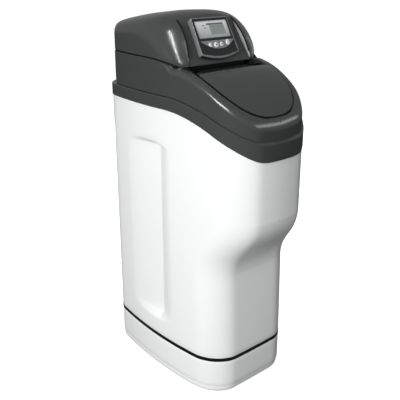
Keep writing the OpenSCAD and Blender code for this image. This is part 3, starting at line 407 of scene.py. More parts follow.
strip_proud = 0.8
strip_profile = [(tray_wall, strip_z0), (0.2, strip_z0), (-0.5, strip_z0 + 0.3), (-strip_proud, strip_z0 + 1)]
strip_profile += [(-strip_proud, strip_z1 - 1), (-0.5, strip_z1 - 0.3), (0.2, strip_z1), (tray_wall, strip_z1)]
strip_profile.append(strip_profile[0])
strip = solid("seam_strip_band", [ring(lower_plan(inset), z) for inset, z in strip_profile])
shade(strip)
# Extruded EPDM rubber: near black and matt, with a dusty bloom.
black_rubber = moulded("black_epdm_rubber", "#090909", "#101010", 0.6, 0.8, 0.03, 60)
dress(strip, black_rubber, "cabinet", ["seam_strip"])

# Rim collar and top cover
# Two charcoal mouldings. The collar wraps the cabinet's rim and falls to the front, and the cover stands in it:
# a rolled shoulder round the lid's opening, a trough behind the lid coloured black as painted shade, and a groove
# under the hood's foot with a black seal in it as painted shade.

cover_crown, cover_drop = 866, 125
collar_proud, collar_bevel, flange_w = 2.5, 1.8, 16
cover_in, cover_seat, cover_wall, cover_back_r = 5, 1.0, 3.5, 72
shoulder_r, hood_edge_r, lid_seat = 14, 1.5, 6.9
seam_groove, seam_in = 4.5, 2.5
cover_lip, cover_lip_t, mouth_edge = 9, 3, 0.8
mouth_y, mouth_half, mouth_reach, mouth_power = -100, 122.6, 147.6, 2.5
cheek_half, cheek_z, hood_margin = 84, 854, 14
hood_front, hood_corner, hood_in = -50, 66, 3
foot_low, foot_rise, foot_start, foot_run = 865, 20.5, -40, 25


def lid_z(y):
    return cover_crown - cover_drop * fall(y)


def hood_foot_z(y):
    """The hood's foot: level behind, and falling fast round its front corners."""
    return foot_low + foot_rise * (1 - math.exp(-max(y - foot_start, 0) / foot_run))


def cover_z(y):
    return mix(lid_z(y), hood_foot_z(y) - 0.4, smooth((y - hood_front + 10) / 20))


def side_x(y):
    return half_w - side_bow * ((y - wide_y) / (back_y - wide_y)) ** 2


def round_in(d, r):
    """How far a round corner of radius r draws in at a distance d from its end."""
    return 0 if d >= r else r - math.sqrt(max(r * r - (r - max(d, 0)) ** 2, 0))


def upper_plan(inset=0.0):
    return plan(front_y, front_r, front_bow, inset)


def cover_plan(inset):
    return plan(front_y, front_r, front_bow, inset, 0, cover_back_r)


collar_rings = [
    ring(upper_plan(-0.3), lambda y: rim_z(y) + 0.2),
    ring(upper_plan(0.5 - collar_proud), rim_z),
    ring(upper_plan(-collar_proud), lambda y: rim_z(y) + 0.7),
]
for k in range(1, 5):
    collar_rings.append(
        ring(upper_plan(-collar_proud), lambda y: mix(rim_z(y) + 0.7, collar_z(y) - collar_bevel, k / 4))
    )
for s, c in quarter(4, 1):
    outline = upper_plan(collar_bevel * (1 - c) - collar_proud)
    collar_rings.append(ring(outline, lambda y: collar_z(y) - collar_bevel * (1 - s)))
collar_rings += [
    ring(upper_plan(flange_w), collar_z),
    ring(upper_plan(flange_w), lambda y: collar_z(y) - flange_t),
    ring(upper_plan(-0.3), lambda y: collar_z(y) - flange_t),
]
collar_rings.append(collar_rings[0])
collar = solid("rim_collar_band", collar_rings)
shade(collar, 40)

cover_base = cover_plan(cover_in)
cover_ys = [p[1] for p in cover_base]
cover_rolls = [clamp(0.85 * round_in(y - hood_front, hood_corner), hood_edge_r, shoulder_r) for y in cover_ys]
cover_sinks = [seam_groove * ramp(y, -46, 14) for y in cover_ys]
cover_outlines = {}


def cover_at(i, inset):
    """The point of the cover's outline number i at an inset, in millimetres."""
    key = round(inset, 2)
    if key not in cover_outlines:
        cover_outlines[key] = cover_plan(key)
    return cover_outlines[key][i][:2]


def mouth_at(i):
    """The edge of the lid's opening that faces point i: a soft oblong in front, drawn in beside the hinge."""
    x, y = cover_base[i][:2]
    if y < mouth_y:
        dx, dy = x, y - mouth_y
        s = ((abs(dx) / mouth_half) ** mouth_power + (abs(dy) / mouth_reach) ** mouth_power) ** (-1 / mouth_power)
        return dx * s, mouth_y + dy * s
    bx, by = cover_at(i, cover_in + hood_margin)
    beside = mix(mouth_half, cheek_half, ramp(y, -80, 12))
    behind = ramp(y, -30, 30)
    return mix(math.copysign(beside, x), bx, behind), mix(y, by, behind)


def cheek_drop(x, y):
    """How far the cover's top slopes down to the hinge deck, at the two ends of the trough behind the lid."""
    hood_side = max(side_x(y) - hood_in - round_in(y - hood_front, hood_corner) - 6, 96)
    start = min(mix(mouth_half - 1, hood_side, ramp(y, -56, 8)), mouth_half - 1)
    share = smooth((start - abs(x)) / (start - cheek_half))
    return max(cover_z(y) - cheek_z, 0) * share * ramp(y, -82, 12) * (1 - ramp(y, -25, 20))


def cover_row(row):
    """A ring of the cover from a function that gives each point's x, y and z in millimetres."""
    return metres(row(i) for i in range(len(cover_base)))


def wall_row(inset, share):
    def row(i):
        x, y = cover_at(i, inset)
        return x, y, mix(collar_z(y) + cover_seat, cover_z(y) - cover_sinks[i] - cover_rolls[i], share)
    return cover_row(row)


def roll_row(degrees):
    a = math.radians(degrees)
    def row(i):
        x, y = cover_at(i, cover_in + cover_rolls[i] * (1 - math.sin(a)))
        return x, y, cover_z(y) - cover_sinks[i] - cover_rolls[i] * (1 - math.cos(a))
    return cover_row(row)


def top_row(share, sunk=0.0, inward=0.0, drop=0.0):
    """A ring on the cover's top, a share of the way from its roll to the opening, or past the opening's edge."""
    def row(i):
        x0, y0 = cover_at(i, cover_in + cover_rolls[i] + seam_in)
        x1, y1 = mouth_at(i)
        reach = math.hypot(x1 - x0, y1 - y0)
        thin = 1 - 0.95 * ramp(y1, -84, 10) * (1 - 0.35 * ramp(y1, -25, 25))
        s = share + inward * thin / reach
        x, y = mix(x0, x1, s), mix(y0, y1, s)
        if inward > 0:
            edge_z = cover_z(y1) - cheek_drop(x1, y1)
        else:
            edge_z = cover_z(y) - cheek_drop(x, y)
        return x, y, edge_z - sunk * cover_sinks[i] - drop * thin
    return cover_row(row)


def under_row(i):
    x, y = cover_at(i, cover_in + cover_rolls[i] + seam_in + 2)
    return x, y, cover_z(y) - lid_seat - cover_lip_t


def corner_row(i):
    x, y = cover_at(i, cover_in + cover_wall)
    return x, y, cover_z(y) - lid_seat - cover_lip_t - 1.5 * cover_rolls[i]


cover_rings = [wall_row(cover_in + 0.8, 0.0), wall_row(cover_in, 0.008)]
cover_rings += [wall_row(cover_in, k / 6) for k in range(1, 6)]
cover_rings += [roll_row(90 - 90 * k / 12) for k in range(13)]
cover_rings += [top_row(0, 1.0), top_row(0.012)]
cover_rings += [top_row(s) for s in (0.1, 0.2, 0.3, 0.4, 0.5, 0.6, 0.7, 0.78, 0.86, 0.93)]
cover_rings += [
    top_row(1, 0, -mouth_edge),
    top_row(1, 0, -mouth_edge * 0.3, mouth_edge * 0.3),
    top_row(1, 0, 0, mouth_edge),
    top_row(1, 0, 0, lid_seat),
    top_row(1, 0, cover_lip, lid_seat),
    top_row(1, 0, cover_lip, lid_seat + cover_lip_t),
    cover_row(under_row),
    cover_row(corner_row),
    wall_row(cover_in + cover_wall, 0.0),
]
cover_rings.append(cover_rings[0])
cover = solid("top_cover_shell", cover_rings)
shade(cover, 40)
# Injection-moulded ABS in charcoal, with the fine spark-eroded texture that gives it a satin sheen.
charcoal_abs = moulded("charcoal_satin_abs", "#424444", "#3e4040", 0.19, 0.9, 0.006, 160)
dress(collar, charcoal_abs, "cabinet", ["rim_collar"])
# The same plastic, with painted shade: the trough between the lid and the hood's foot is coloured near black and
# made less glossy, out to a wedge at each end, for the shadow under the hood.
shaded_trough_cover_abs = moulded("charcoal_abs_painted_trough_shade", "#424444", "#3e4040", 0.19, 0.9, 0.006, 160)
tree = shaded_trough_cover_abs.node_tree
cover_shader = tree.nodes["Principled BSDF"]
cover_tone = cover_shader.inputs["Base Color"].links[0].from_socket
wedge_lean = -0.45
spot = add_node(tree, "ShaderNodeSeparateXYZ", Vector=object_place(tree))
aside = add_node(tree, "ShaderNodeMath", {"operation": "ABSOLUTE"}, _0=spot.outputs["X"]).outputs[0]
wedge = add_node(
    tree, "ShaderNodeMath", {"operation": "MULTIPLY_ADD"}, _0=spot.outputs["Y"], _1=wedge_lean, _2=aside
)
trough_shade_edges = ((wedge.outputs[0], 156, 154.4), (spot.outputs["Y"], -90, -84), (spot.outputs["Y"], -26, -30))
trough_shade = 1.0
for value, outside, inside in trough_shade_edges:
    share = add_node(tree, "ShaderNodeMapRange", Value=value, From_Min=outside * MM, From_Max=inside * MM)
    trough_shade = add_node(tree, "ShaderNodeMath", {"operation": "MULTIPLY"}, _0=share.outputs[0], _1=trough_shade).outputs[0]
two_tone(tree, cover_shader, trough_shade, cover_tone, linear("#0c0c0c"))
vary(tree, cover_shader, "Specular IOR Level", trough_shade, 0.5, 0.08)
dress(cover, shaded_trough_cover_abs, "cabinet", ["top_cover"])

# A black rubber seal lies in the shadow groove under the hood's foot, as painted shade that darkens the groove to
# a black line.
seal_in, seal_foot, seal_start = 0.6, 0.1, -42
seal_run = [i for i, y in enumerate(cover_ys) if y > seal_start]
foot_seal_rings = []
for inward, up in ((seal_in, seal_foot), (seal_in, 1), (seam_in, 1), (seam_in, seal_foot), (seal_in, seal_foot)):
    points = []
    for i in seal_run:
        x, y = cover_at(i, cover_in + cover_rolls[i] + inward)
        points.append((x, y, cover_z(y) - cover_sinks[i] * (1 - up)))
    foot_seal_rings.append(metres(points))
foot_seal = solid("hood_foot_seal_painted_shade", foot_seal_rings, round_trip=False)
shade(foot_seal)
dress(foot_seal, black_rubber, "cabinet")

# Salt lid
# A charcoal moulding with a low dome that keeps the cover's line. It lies in the cover's opening with a black
# seal round its edge as painted shade for the gap, turns on two arms at its rear, and has a stiffening rib
# underneath.

lid_gap, lid_t, lid_crown, lid_rear, lid_corner, lid_mid = 3.6, 5.5, 5, -97, 8, -168
lid_edge_r, lid_rib, lid_proud, lid_rear_crown = 1.0, 7, 2.0, 2.6
seal_low, seal_proud, seal_deep, lid_shift = 5, 0.3, 1, 1.2


def even(points, count):
    """The same line with its points spread evenly along it."""
    runs = [0.0]
    for (ax, ay), (bx, by) in zip(points, points[1:]):
        runs.append(runs[-1] + math.hypot(bx - ax, by - ay))
    spread, j = [], 0
    for k in range(count):
        want = runs[-1] * k / (count - 1)
        while j < len(runs) - 2 and runs[j + 1] < want:
            j += 1
        t = clamp((want - runs[j]) / max(runs[j + 1] - runs[j], 1e-9))
        spread.append((mix(points[j][0], points[j + 1][0], t), mix(points[j][1], points[j + 1][1], t)))
    return spread


lid_half, lid_reach = mouth_half - lid_gap, mouth_reach - lid_gap
lid_oval = []
for s, c in quarter(240):
    x = lid_half * s ** (2 / mouth_power)
    y = mouth_y - lid_reach * c ** (2 / mouth_power)
    if y < lid_rear - lid_corner:
        lid_oval.append((x, y))
lid_side = even(lid_oval, 72)
lid_side += [(lid_half - lid_corner * (1 - c), lid_rear - lid_corner * (1 - s)) for s, c in quarter(8)]
lid_side += [((lid_half - lid_corner) * (1 - k / 20), lid_rear) for k in range(1, 21)]
lid_plan = lid_side + [(-x, y) for x, y in lid_side[-2:0:-1]]


def lid_ring(share, drop, inset=0.0):
    """The lid's outline drawn in to a share of its size and by an inset, at its own height less the drop."""
    points = []
    for x, y in lid_plan:
        reach = math.hypot(x, y - lid_mid)
        s = share * (1 - inset / reach)
        qx, qy = x * s, lid_mid + (y - lid_mid) * s
        rear = lid_rear_crown * (1 - (qx / lid_half) ** 2) * (1 - smooth((lid_rear - qy) / 80))
        points.append((qx + lid_shift, qy, lid_z(qy) + lid_proud + rear - drop))
    return metres(points)


def dome(share):
    return lid_crown * (1 - share**2)


lid_under = [(0.02, lid_t), (0.3, lid_t), (0.6, lid_t), (0.8, lid_t), (0.8, lid_t + lid_rib)]
lid_under += [(0.82, lid_t + lid_rib), (0.82, lid_t), (0.92, lid_t)]
lid_rings = [lid_ring(share, drop) for share, drop in lid_under]
lid_rings += [lid_ring(1, lid_t, 0.8), lid_ring(1, lid_t - 0.8)]
lid_rings += [lid_ring(1, lid_edge_r * (1 - s), lid_edge_r * (1 - c)) for s, c in quarter(6)]
lid_tops = [0.97, 0.94, 0.9] + [0.86 - 0.04 * k for k in range(21)] + [0.03]
lid_rings += [lid_ring(share, -dome(share)) for share in lid_tops]
lid = solid("salt_lid_panel", lid_rings)
shade(lid, 40)
dress(lid, charcoal_abs, "lid", ["salt_lid"])

# The seal is black rubber that fills most of the gap, as painted shade that draws the gap as a thick black line.
seal_profile = [(lid_edge_r, seal_deep), (lid_edge_r, 0), (lid_edge_r + 0.4, -seal_proud)]
seal_profile += [(seal_low - 0.4, -seal_proud), (seal_low, 0), (seal_low, seal_deep), (lid_edge_r, seal_deep)]
seal = solid("salt_lid_seal_painted_shade", [lid_ring(1, drop, inset) for drop, inset in seal_profile])
shade(seal)
dress(seal, black_rubber, "lid")

# Control hood
# A charcoal cap over the valve, with a domed roof and a rounded nose, that lifts straight off. Its front is cut
# back between two shoulders into a sloping panel, with silver grey cheeks as painted highlight, black rods on the
# edges and a black sheet behind its foot as painted shade, and a bead at its foot.

hood_wall, hood_top, hood_back_top, hood_back_r = 3, 988, 957, 74
roof_sag, roof_round, roof_power, nose_d, nose_h = 18, 12, 1.6, 108, 117
nose_power, back_power = 2.6, 8
nose_y, nose_z = hood_front + nose_d, hood_top - nose_h
panel_y, panel_z, panel_tilt, bezel_t = -17, 946, math.radians(60), 12
groove_foot_x, groove_foot_z, groove_lean, groove_w, groove_deep = 103, 876, 0.146, 3, 4
notch_half, notch_top, notch_d, notch_h, notch_r = 70, 936, 80, 100, 10
recess_low, recess_step, core_lower = 850, 10, 8


def hood_half(y, t=0.0):
    back = back_y - hood_in - t
    front_cut = round_in(y - hood_front - t, hood_corner - t)
    return side_x(y) - hood_in - t - front_cut - round_in(back - y, hood_back_r - t)


def roof_z(y, t=0.0):
    if y < nose_y:
        z = nose_z + (nose_h - t) * math.sqrt(max(1 - ((nose_y - y) / (nose_d - t)) ** 2, 0))
    else:
        z = hood_top - t - (hood_top - hood_back_top) * ((y - nose_y) / (back_y - nose_y)) ** roof_power
    return z - round_in(back_y - hood_in - t - y, roof_round)


def hood_power(y):
    """The power of the hood's section at y: soft in front and square behind."""
    return mix(nose_power, back_power, smooth((y - hood_front - 20) / 170))


def roof_rise(h, x):
    """The roof's height over the foot at x, where h is its height in the middle."""
    return h - roof_sag * (x / half_w) ** 2 * smooth(h / 60)


def hood_ring(y, t=0.0, lower=0.0):
    """A section of the hood at y, a wall's thickness t further in, with its foot lowered."""
    w, foot = hood_half(y, t), hood_foot_z(y) - lower
    h = max(roof_z(y, t) - foot, 1)
    power = hood_power(y)
    arc = []
    for k in range(161):
        a = math.pi * k / 160
        x = w * math.copysign(abs(math.cos(a)) ** (2 / power), math.cos(a))
        lift = abs(math.sin(a)) ** (2 / power)
        arc.append((x, foot + roof_rise(h, x) * lift))
    floor_line = [(mix(-w, w, k / 10), foot) for k in range(1, 10)]
    return metres((x, y, z) for x, z in even(arc, 121) + floor_line)


def hood_rows(t, nose_steps, mid_steps, end_steps):
    end, turn = back_y - hood_in - t, hood_back_r
    rows = [nose_y - (nose_d - t) * c for _, c in quarter(nose_steps)]
    rows += [mix(nose_y, end - turn, k / mid_steps) for k in range(1, mid_steps + 1)]
    return rows + [end - turn * (1 - s) for s, _ in quarter(end_steps, 1)]


def panel_plane_y(z):
    """Y of the sloping front panel at height z."""
    slope_y = panel_y + bezel_t * math.sin(panel_tilt)
    slope_z = panel_z - bezel_t * math.cos(panel_tilt)
    return slope_y + (z - slope_z) / math.tan(panel_tilt)


def cheek_x(z):
    """X of the recess's right wall at height z."""
    return groove_foot_x - groove_lean * (z - groove_foot_z)


def recess_ring(z, behind, beside, groove):
    """The outline of what is cut away in front of the panel at height z, with a groove at each of its sides."""
    y = panel_plane_y(z) + behind
    x = cheek_x(z) + beside
    side = [(x, -120), (x, y + groove), (x - groove_w, y + groove), (x - groove_w, y)]
    return metres((px, py, z) for px, py in side + [(-px, py) for px, py in side[::-1]])


def recess(name, behind, beside, groove):
    return solid(name, [recess_ring(recess_low + recess_step * k, behind, beside, groove) for k in range(17)])


hood = solid("control_hood_shell", [hood_ring(y) for y in hood_rows(0, 64, 40, 22)])
cut(hood, recess("panel_recess", 0, 0, groove_deep))
hood_core = solid("hood_core", [hood_ring(y, hood_wall, core_lower) for y in hood_rows(hood_wall, 32, 20, 14)])
cut(hood_core, recess("core_recess", groove_deep + 2, hood_wall, 0))
cut(hood, hood_core)
bpy.ops.object.select_all(action="DESELECT")
bpy.ops.mesh.primitive_cube_add(size=1, location=(0, back_y * MM, (notch_top - notch_h / 2) * MM))
notch = bpy.context.object
notch.scale = (2 * notch_half * MM, notch_d * MM, notch_h * MM)
bpy.ops.object.transform_apply(location=False, rotation=False, scale=True)
apply_modifier(notch, "BEVEL", width=notch_r * MM, segments=6)
cut(hood, notch)
shade(hood, 40)
dress(hood, charcoal_abs, "hood", ["control_hood"])
# Painted highlight: the two walls beside the panel are coloured a light silver grey, which stands in for the light
# they catch.
hood.data.materials.append(moulded("silver_grey_painted_highlight", "#b4b6b6", "#adafaf", 0.3, 0.9, 0.01, 60))
for face in hood.data.polygons:
    x, y, z = (c / MM for c in face.center)
    beside = abs(abs(x) - cheek_x(z))
    if abs(face.normal.x) > 0.8 and beside < 1.5 and y < panel_plane_y(z) + 0.5:
        face.material_index = 1

# A black rubber rod lies on each edge where the nose meets the recess, as painted shade that draws a dark line
# there.
shade_line_r, shade_line_low_y, shade_line_high_y, shade_line_steps, shade_line_sides = 1.9, -45, 15, 48, 12


def hood_edge(y):
    """The point of the nose's skin that lies in the plane of the recess's right wall, at y."""
    power, foot, w = hood_power(y), hood_foot_z(y), hood_half(y)
    h, z = roof_z(y) - foot, 900
    for _ in range(30):
        x = cheek_x(z)
        lift = max(1 - (x / w) ** power, 0) ** (1 / power)
        z = mix(z, foot + roof_rise(h, x) * lift, 0.5)
    return x, y, z


shade_line_shares = [(k / shade_line_steps) ** 1.5 for k in range(shade_line_steps + 1)]
shade_line_path = [hood_edge(mix(shade_line_low_y, shade_line_high_y, share)) for share in shade_line_shares]
for hand in (-1, 1):
    shade_line_rings = []
    for k, (x, y, z) in enumerate(shade_line_path):
        ahead, behind = shade_line_path[min(k + 1, shade_line_steps)], shade_line_path[max(k - 1, 0)]
        run = math.hypot(ahead[1] - behind[1], ahead[2] - behind[2])
        across, along = (ahead[2] - behind[2]) / run, (ahead[1] - behind[1]) / run
        loop = []
        for b in range(shade_line_sides):
            a = math.tau * b / shade_line_sides
            out, side = shade_line_r * math.sin(a), shade_line_r * math.cos(a)
            loop.append((hand * (x + side), y + out * across, z - out * along))
        shade_line_rings.append(metres(loop))
    shade_line_rod = solid("hood_edge_shade_line_" + ("left" if hand < 0 else "right"), shade_line_rings)
    shade(shade_line_rod, 60)
    dress(shade_line_rod, black_rubber, "hood")

# A rounded bead stiffens the panel's foot and shows as a light line above the gap.
bead_half, bead_y, bead_z, bead_r = 97, -48.4, 866.4, 2.2
bpy.ops.object.select_all(action="DESELECT")
bpy.ops.mesh.primitive_cylinder_add(
    vertices=24,
    radius=bead_r * MM,
    depth=2 * bead_half * MM,
    location=(0, bead_y * MM, bead_z * MM),
    rotation=(0, math.radians(90), 0),
)
bead = bpy.context.object
bead.name = "hood_foot_bead"
bpy.ops.object.transform_apply(location=True, rotation=True, scale=True)
shade(bead, 40)
dress(bead, charcoal_abs, "hood")

# A black sheet behind the panel's foot, rough like cell foam, closes the gap above the hinge deck as painted
# shade.
shade_sheet_half, shade_sheet_y, shade_sheet_t, shade_sheet_low, shade_sheet_high = 92, -39.5, 3, 854.4, 873
bpy.ops.object.select_all(action="DESELECT")
bpy.ops.mesh.primitive_cube_add(size=1, location=(0, shade_sheet_y * MM, (shade_sheet_low + shade_sheet_high) / 2 * MM))
shade_sheet = bpy.context.object
shade_sheet.name = "hood_foot_shade_sheet"
shade_sheet.scale = (2 * shade_sheet_half * MM, shade_sheet_t * MM, (shade_sheet_high - shade_sheet_low) * MM)
bpy.ops.object.transform_apply(location=True, rotation=False, scale=True)
apply_modifier(shade_sheet, "BEVEL", width=0.6 * MM, segments=2)
dress(shade_sheet, moulded("black_shade_sheet", "#0c0c0c", "#141414", 0.8, 1.5, 0.3, 20), "hood")

# Display bezel
# A black moulding on the front panel, with a rounded rim that is broad at its curved foot. Its face is sunk a
# little and has the display's opening and a crescent pocket for the keys.

bezel_top, bezel_low, bezel_sag, bezel_half_top, bezel_half_low = 32, -66, 12, 61, 64
bezel_corner, bezel_round = 6, 2.4
lcd_x, lcd_w, lcd_h, face_w = 1.75, 106.5, 46, -1.4
key_x, key_half, key_top, key_low, key_floor = 4, 56, -29.8, -53, -6


def bezel_outline(inset=0.0, foot_inset=0.0):
    """The bezel's outline in its own plane: rounded top corners, flared sides and a curved foot."""
    top, low = bezel_top - inset, bezel_low + foot_inset
    half_top, half_low = bezel_half_top - inset, bezel_half_low - inset
    r = bezel_corner - min(inset, 3)
    half = [((half_top - r) * k / 8, top) for k in range(9)]
    half += [(half_top - r + r * s, top - r + r * c) for s, c in quarter(6, 1)]
    foot_r = 3
    half += [(mix(half_top, half_low, k / 16), mix(top - r, low + foot_r, k / 16)) for k in range(1, 17)]
    half += [(half_low - foot_r * (1 - c), low + foot_r * (1 - s)) for s, c in quarter(5, 1)]
    span = half_low - foot_r
    half += [(span * (1 - k / 20), low - bezel_sag * (1 - (1 - k / 20) ** 2)) for k in range(1, 21)]
    return half + [(-x, y) for x, y in half[-2:0:-1]]


def flat_ring(outline, w):
    return metres((x, y, w) for x, y in outline)


def seat_on_panel(piece):
    """Turns a piece that was made flat onto the sloping panel, and puts its place into its mesh."""
    pick(piece)
    piece.rotation_euler = (panel_tilt, 0, 0)
    piece.location = (0, panel_y * MM, panel_z * MM)
    bpy.ops.object.transform_apply(location=True, rotation=True, scale=True)


def on_panel(point):
    """A point's place on the panel in millimetres: across it, up its slope and out of it."""
    y, z = point[1] / MM - panel_y, point[2] / MM - panel_z
    c, s = math.cos(panel_tilt), math.sin(panel_tilt)
    return point[0] / MM, y * c + z * s, z * c - y * s


def flat_plate(name, outline, low, high):
    """A plate of that outline between two heights, made from one face that is drawn up."""
    bpy.ops.object.select_all(action="DESELECT")
    bpy.ops.mesh.primitive_circle_add(vertices=len(outline), fill_type="NGON")
    plate = bpy.context.object
    plate.name = name
    for v, (x, y) in zip(plate.data.vertices, outline):
        v.co = (x * MM, y * MM, low * MM)
    edit_mesh(bpy.ops.mesh.extrude_region_move, TRANSFORM_OT_translate={"value": (0, 0, (high - low) * MM)})
    edit_mesh(bpy.ops.mesh.normals_make_consistent, inside=False)
    return plate


def rounded_box(half_x, half_y, r, steps=6, centre=(0, 0)):
    points = []
    for cx, cy, turn in ((1, -1, -90), (1, 1, 0), (-1, 1, 90), (-1, -1, 180)):
        for k in range(steps + 1):
            a = math.radians(turn + 90 * k / steps)
            points.append(
                (centre[0] + cx * (half_x - r) + r * math.cos(a), centre[1] + cy * (half_y - r) + r * math.sin(a))
            )
    return points


def display_box(grow, r):
    """The display's opening, made larger on all sides."""
    return rounded_box(lcd_w / 2 + grow, lcd_h / 2 + grow, r, 6, (lcd_x, 0))


def crescent(gap):
    """The key field: a chord above and an arc below, drawn in by a gap."""
    drop = key_top - key_low
    r = (key_half**2 + drop**2) / (2 * drop)
    middle = key_low + r
    top = key_top - gap
    reach = math.sqrt((r - gap) ** 2 - (middle - top) ** 2)
    start = math.asin(reach / (r - gap))
    arc = [mix(-start, start, k / 48) for k in range(49)]
    return [(key_x + (r - gap) * math.sin(a), middle - (r - gap) * math.cos(a)) for a in arc]


bezel_rings = [flat_ring(bezel_outline(), -bezel_t), flat_ring(bezel_outline(), -bezel_round)]
for s, c in quarter(5, 1):
    inset = bezel_round * (1 - c)
    bezel_rings.append(flat_ring(bezel_outline(inset, inset * 1.4), -bezel_round * (1 - s)))
bezel_rings += [
    flat_ring(bezel_outline(3.4, 5.0), -0.1),
    flat_ring(bezel_outline(3.8, 5.8), -0.5),
    flat_ring(bezel_outline(4.0, 6.4), face_w),
]
bezel = solid("display_bezel_frame", bezel_rings)
cut_low, cut_high, seat_w = -20, 5, -2.8
cut(bezel, flat_plate("window_cut", display_box(0, 1.5), cut_low, cut_high))
cut(bezel, flat_plate("window_seat_cut", display_box(2.8, 1.5), cut_low, seat_w))
cut(bezel, flat_plate("key_pocket_cut", crescent(0), key_floor, cut_high))
shade(bezel, 35)
seat_on_panel(bezel)
# ABS with a polished face: a deep blue-black that mirrors the room softly.
bezel_black = moulded("black_polished_abs", "#1c2123", "#181c1e", 0.22, 1.5, 0.01, 50)
dress(bezel, bezel_black, "hood", ["display_bezel"])
# The rim is a paler satin grey than the face, partly its own tone and partly a painted highlight that draws a
# light line round it; the wall under the curved foot keeps the black face colour as painted shade.
bezel.data.materials.append(moulded("graphite_satin_abs_rim_highlight", "#767878", "#6f7171", 0.26, 0.9, 0.012, 40))
rim_w, rim_foot_w = 3.7, 5.6
for face in bezel.data.polygons:
    x, v, w = on_panel(face.center)
    side = mix(bezel_half_top, bezel_half_low, (bezel_top - v) / (bezel_top - bezel_low)) - rim_w
    foot = bezel_low - bezel_sag * (1 - (x / bezel_half_low) ** 2) + rim_foot_w
    on_side = w > 1 - bezel_t and (abs(x) > side or v > bezel_top - rim_w)
    if on_side or (v < foot and w > -bezel_round):
        face.material_index = 1

# Display
# A reflective liquid crystal module behind a clear acrylic window. Its surround is silvered, its field is a
# grey green, and a few dark segments are on.

lcd_face, lcd_back, pane_low, pane_high, film_low, film_high = -4.4, -11, -4.1, -2.9, -22, 20
module = flat_plate("lcd_module_plate", display_box(2.2, 1), lcd_back, lcd_face)
apply_modifier(module, "BEVEL", width=0.4 * MM, segments=2, limit_method="ANGLE")
seat_on_panel(module)
# Silvered film with painted light: coloured brighter towards the top as a painted highlight and duller towards the
# foot as painted shade.
silver, tree, shader = new_material("silvered_lcd_film_painted_light")
place = object_place(tree)
film_z = add_node(tree, "ShaderNodeSeparateXYZ", Vector=place).outputs["Z"]
film_z0, film_z1 = (panel_z + film_low) * MM, (panel_z + film_high) * MM
painted_light_run = add_node(tree, "ShaderNodeMapRange", Value=film_z, From_Min=film_z0, From_Max=film_z1)
two_tone(tree, shader, painted_light_run.outputs["Result"], linear("#9ba1a4"), linear("#fbfdfd"))
vary(tree, shader, "Roughness", noise(tree, place, 0.8), 0.35, 0.5)
dress(module, silver, "hood", ["lcd_module"])

field_half_w, field_half_h, field_at, print_t = 24.5, 13, (19.5, -1), 0.06
field_box = rounded_box(field_half_w, field_half_h, 0.6, 6, field_at)
field = flat_plate("lcd_field", field_box, lcd_face - 0.2, lcd_face + print_t)
seat_on_panel(field)
# Liquid crystal at rest: a flat grey green with a dry sheen.
field_green = moulded("lcd_field_green", "#8d978a", "#858f83", 0.4, 0.6, 0.004, 12)
dress(field, field_green, "hood")

marks = [(15, 14.6, 28, 4.4), (-24, 11.6, 3.6, 2.2), (-19, 5, 3, 2)]
mark_plates = []
for i, (x, y, half, thick) in enumerate(marks):
    mark_plates.append(
        flat_plate(f"lcd_mark_{i}", rounded_box(half, thick / 2, 0.4, 3, (x, y)), lcd_face, lcd_face + 0.1)
    )
bpy.ops.object.select_all(action="DESELECT")
for plate in mark_plates:
    plate.select_set(True)
bpy.context.view_layer.objects.active = mark_plates[0]
bpy.ops.object.join()
lcd_marks = mark_plates[0]
lcd_marks.name = "lcd_segments"
seat_on_panel(lcd_marks)
# Liquid crystal that is on: a soft, greenish near black.
segment_ink = moulded("lcd_segment_black", "#3a413d", "#333a36", 0.5, 0.5, 0.004, 5)
dress(lcd_marks, segment_ink, "hood")

window = flat_plate("display_window_pane", display_box(2.4, 1.2), pane_low, pane_high)
apply_modifier(window, "BEVEL", width=0.25 * MM, segments=2, limit_method="ANGLE")
seat_on_panel(window)
# Cast acrylic: clear, so only its gloss and a trace of grey show.
acrylic = moulded("clear_acrylic", "#dfe4e6", "#d6dcde", 0.06, 40, 0.002, 60, 1.49)
acrylic_shader = acrylic.node_tree.nodes["Principled BSDF"]
acrylic_shader.inputs["Alpha"].default_value = 0.08
dress(window, acrylic, "hood", ["display_window"])

# Keys
# A grey keypad plate in the crescent, with three round keys and an oval rocker in white plastic. Each cap is
# a little domed and carries a plain dark mark.

menu_at, set_at, clock_at, rocker_at = (-24.5, -41), (-6.3, -42.3), (12.6, -41.8), (34.6, -38)
small_key_r, set_key_r, rocker_r, rocker_lobe, rocker_turn = 5.4, 6.8, 6.6, 1.1, 1.3
plate_top, key_rise, slide_gap = -1, 1.2, 0.4


def disc(r, centre, steps=48):
    turns = [math.tau * k / steps for k in range(steps)]
    return [(centre[0] + r * math.cos(a), centre[1] + r * math.sin(a)) for a in turns]


def oval(grow, centre, steps=48):
    """The rocker's outline: an oval with two lobes, turned a little, and made larger on all sides."""
    points = []
    for k in range(steps):
        a = math.tau * k / steps
        r = rocker_r + grow + rocker_lobe * math.cos(2 * (a - rocker_turn))
        points.append((centre[0] + r * math.cos(a), centre[1] + r * math.sin(a)))
    return points


plate = flat_plate("keypad_plate_grey", crescent(slide_gap), key_floor, plate_top)
for at, r in ((menu_at, small_key_r), (set_at, set_key_r), (clock_at, small_key_r)):
    cut(plate, flat_plate("key_hole_cut", disc(r + slide_gap, at), cut_low, cut_high))
cut(plate, flat_plate("rocker_hole_cut", oval(2 * slide_gap, rocker_at), cut_low, cut_high))
shade(plate)
seat_on_panel(plate)
# Silicone keypad sheet: a mid grey with a dry, even matt skin.
keypad_grey = moulded("grey_silicone_keypad", "#858989", "#7d8181", 0.48, 0.7, 0.02, 30)
dress(plate, keypad_grey, "hood", ["keypad_plate"])

# Translucent white ABS, a little warm, with a smooth polished cap.
key_white = moulded("white_polished_abs", "#eef0f0", "#e6e8e8", 0.25, 1.0, 0.006, 20)
# Pad print: a thin dark grey ink, matt on the polished cap.
mark_dark = moulded("dark_pad_print", "#26292b", "#2e3133", 0.5, 0.5, 0.004, 6)


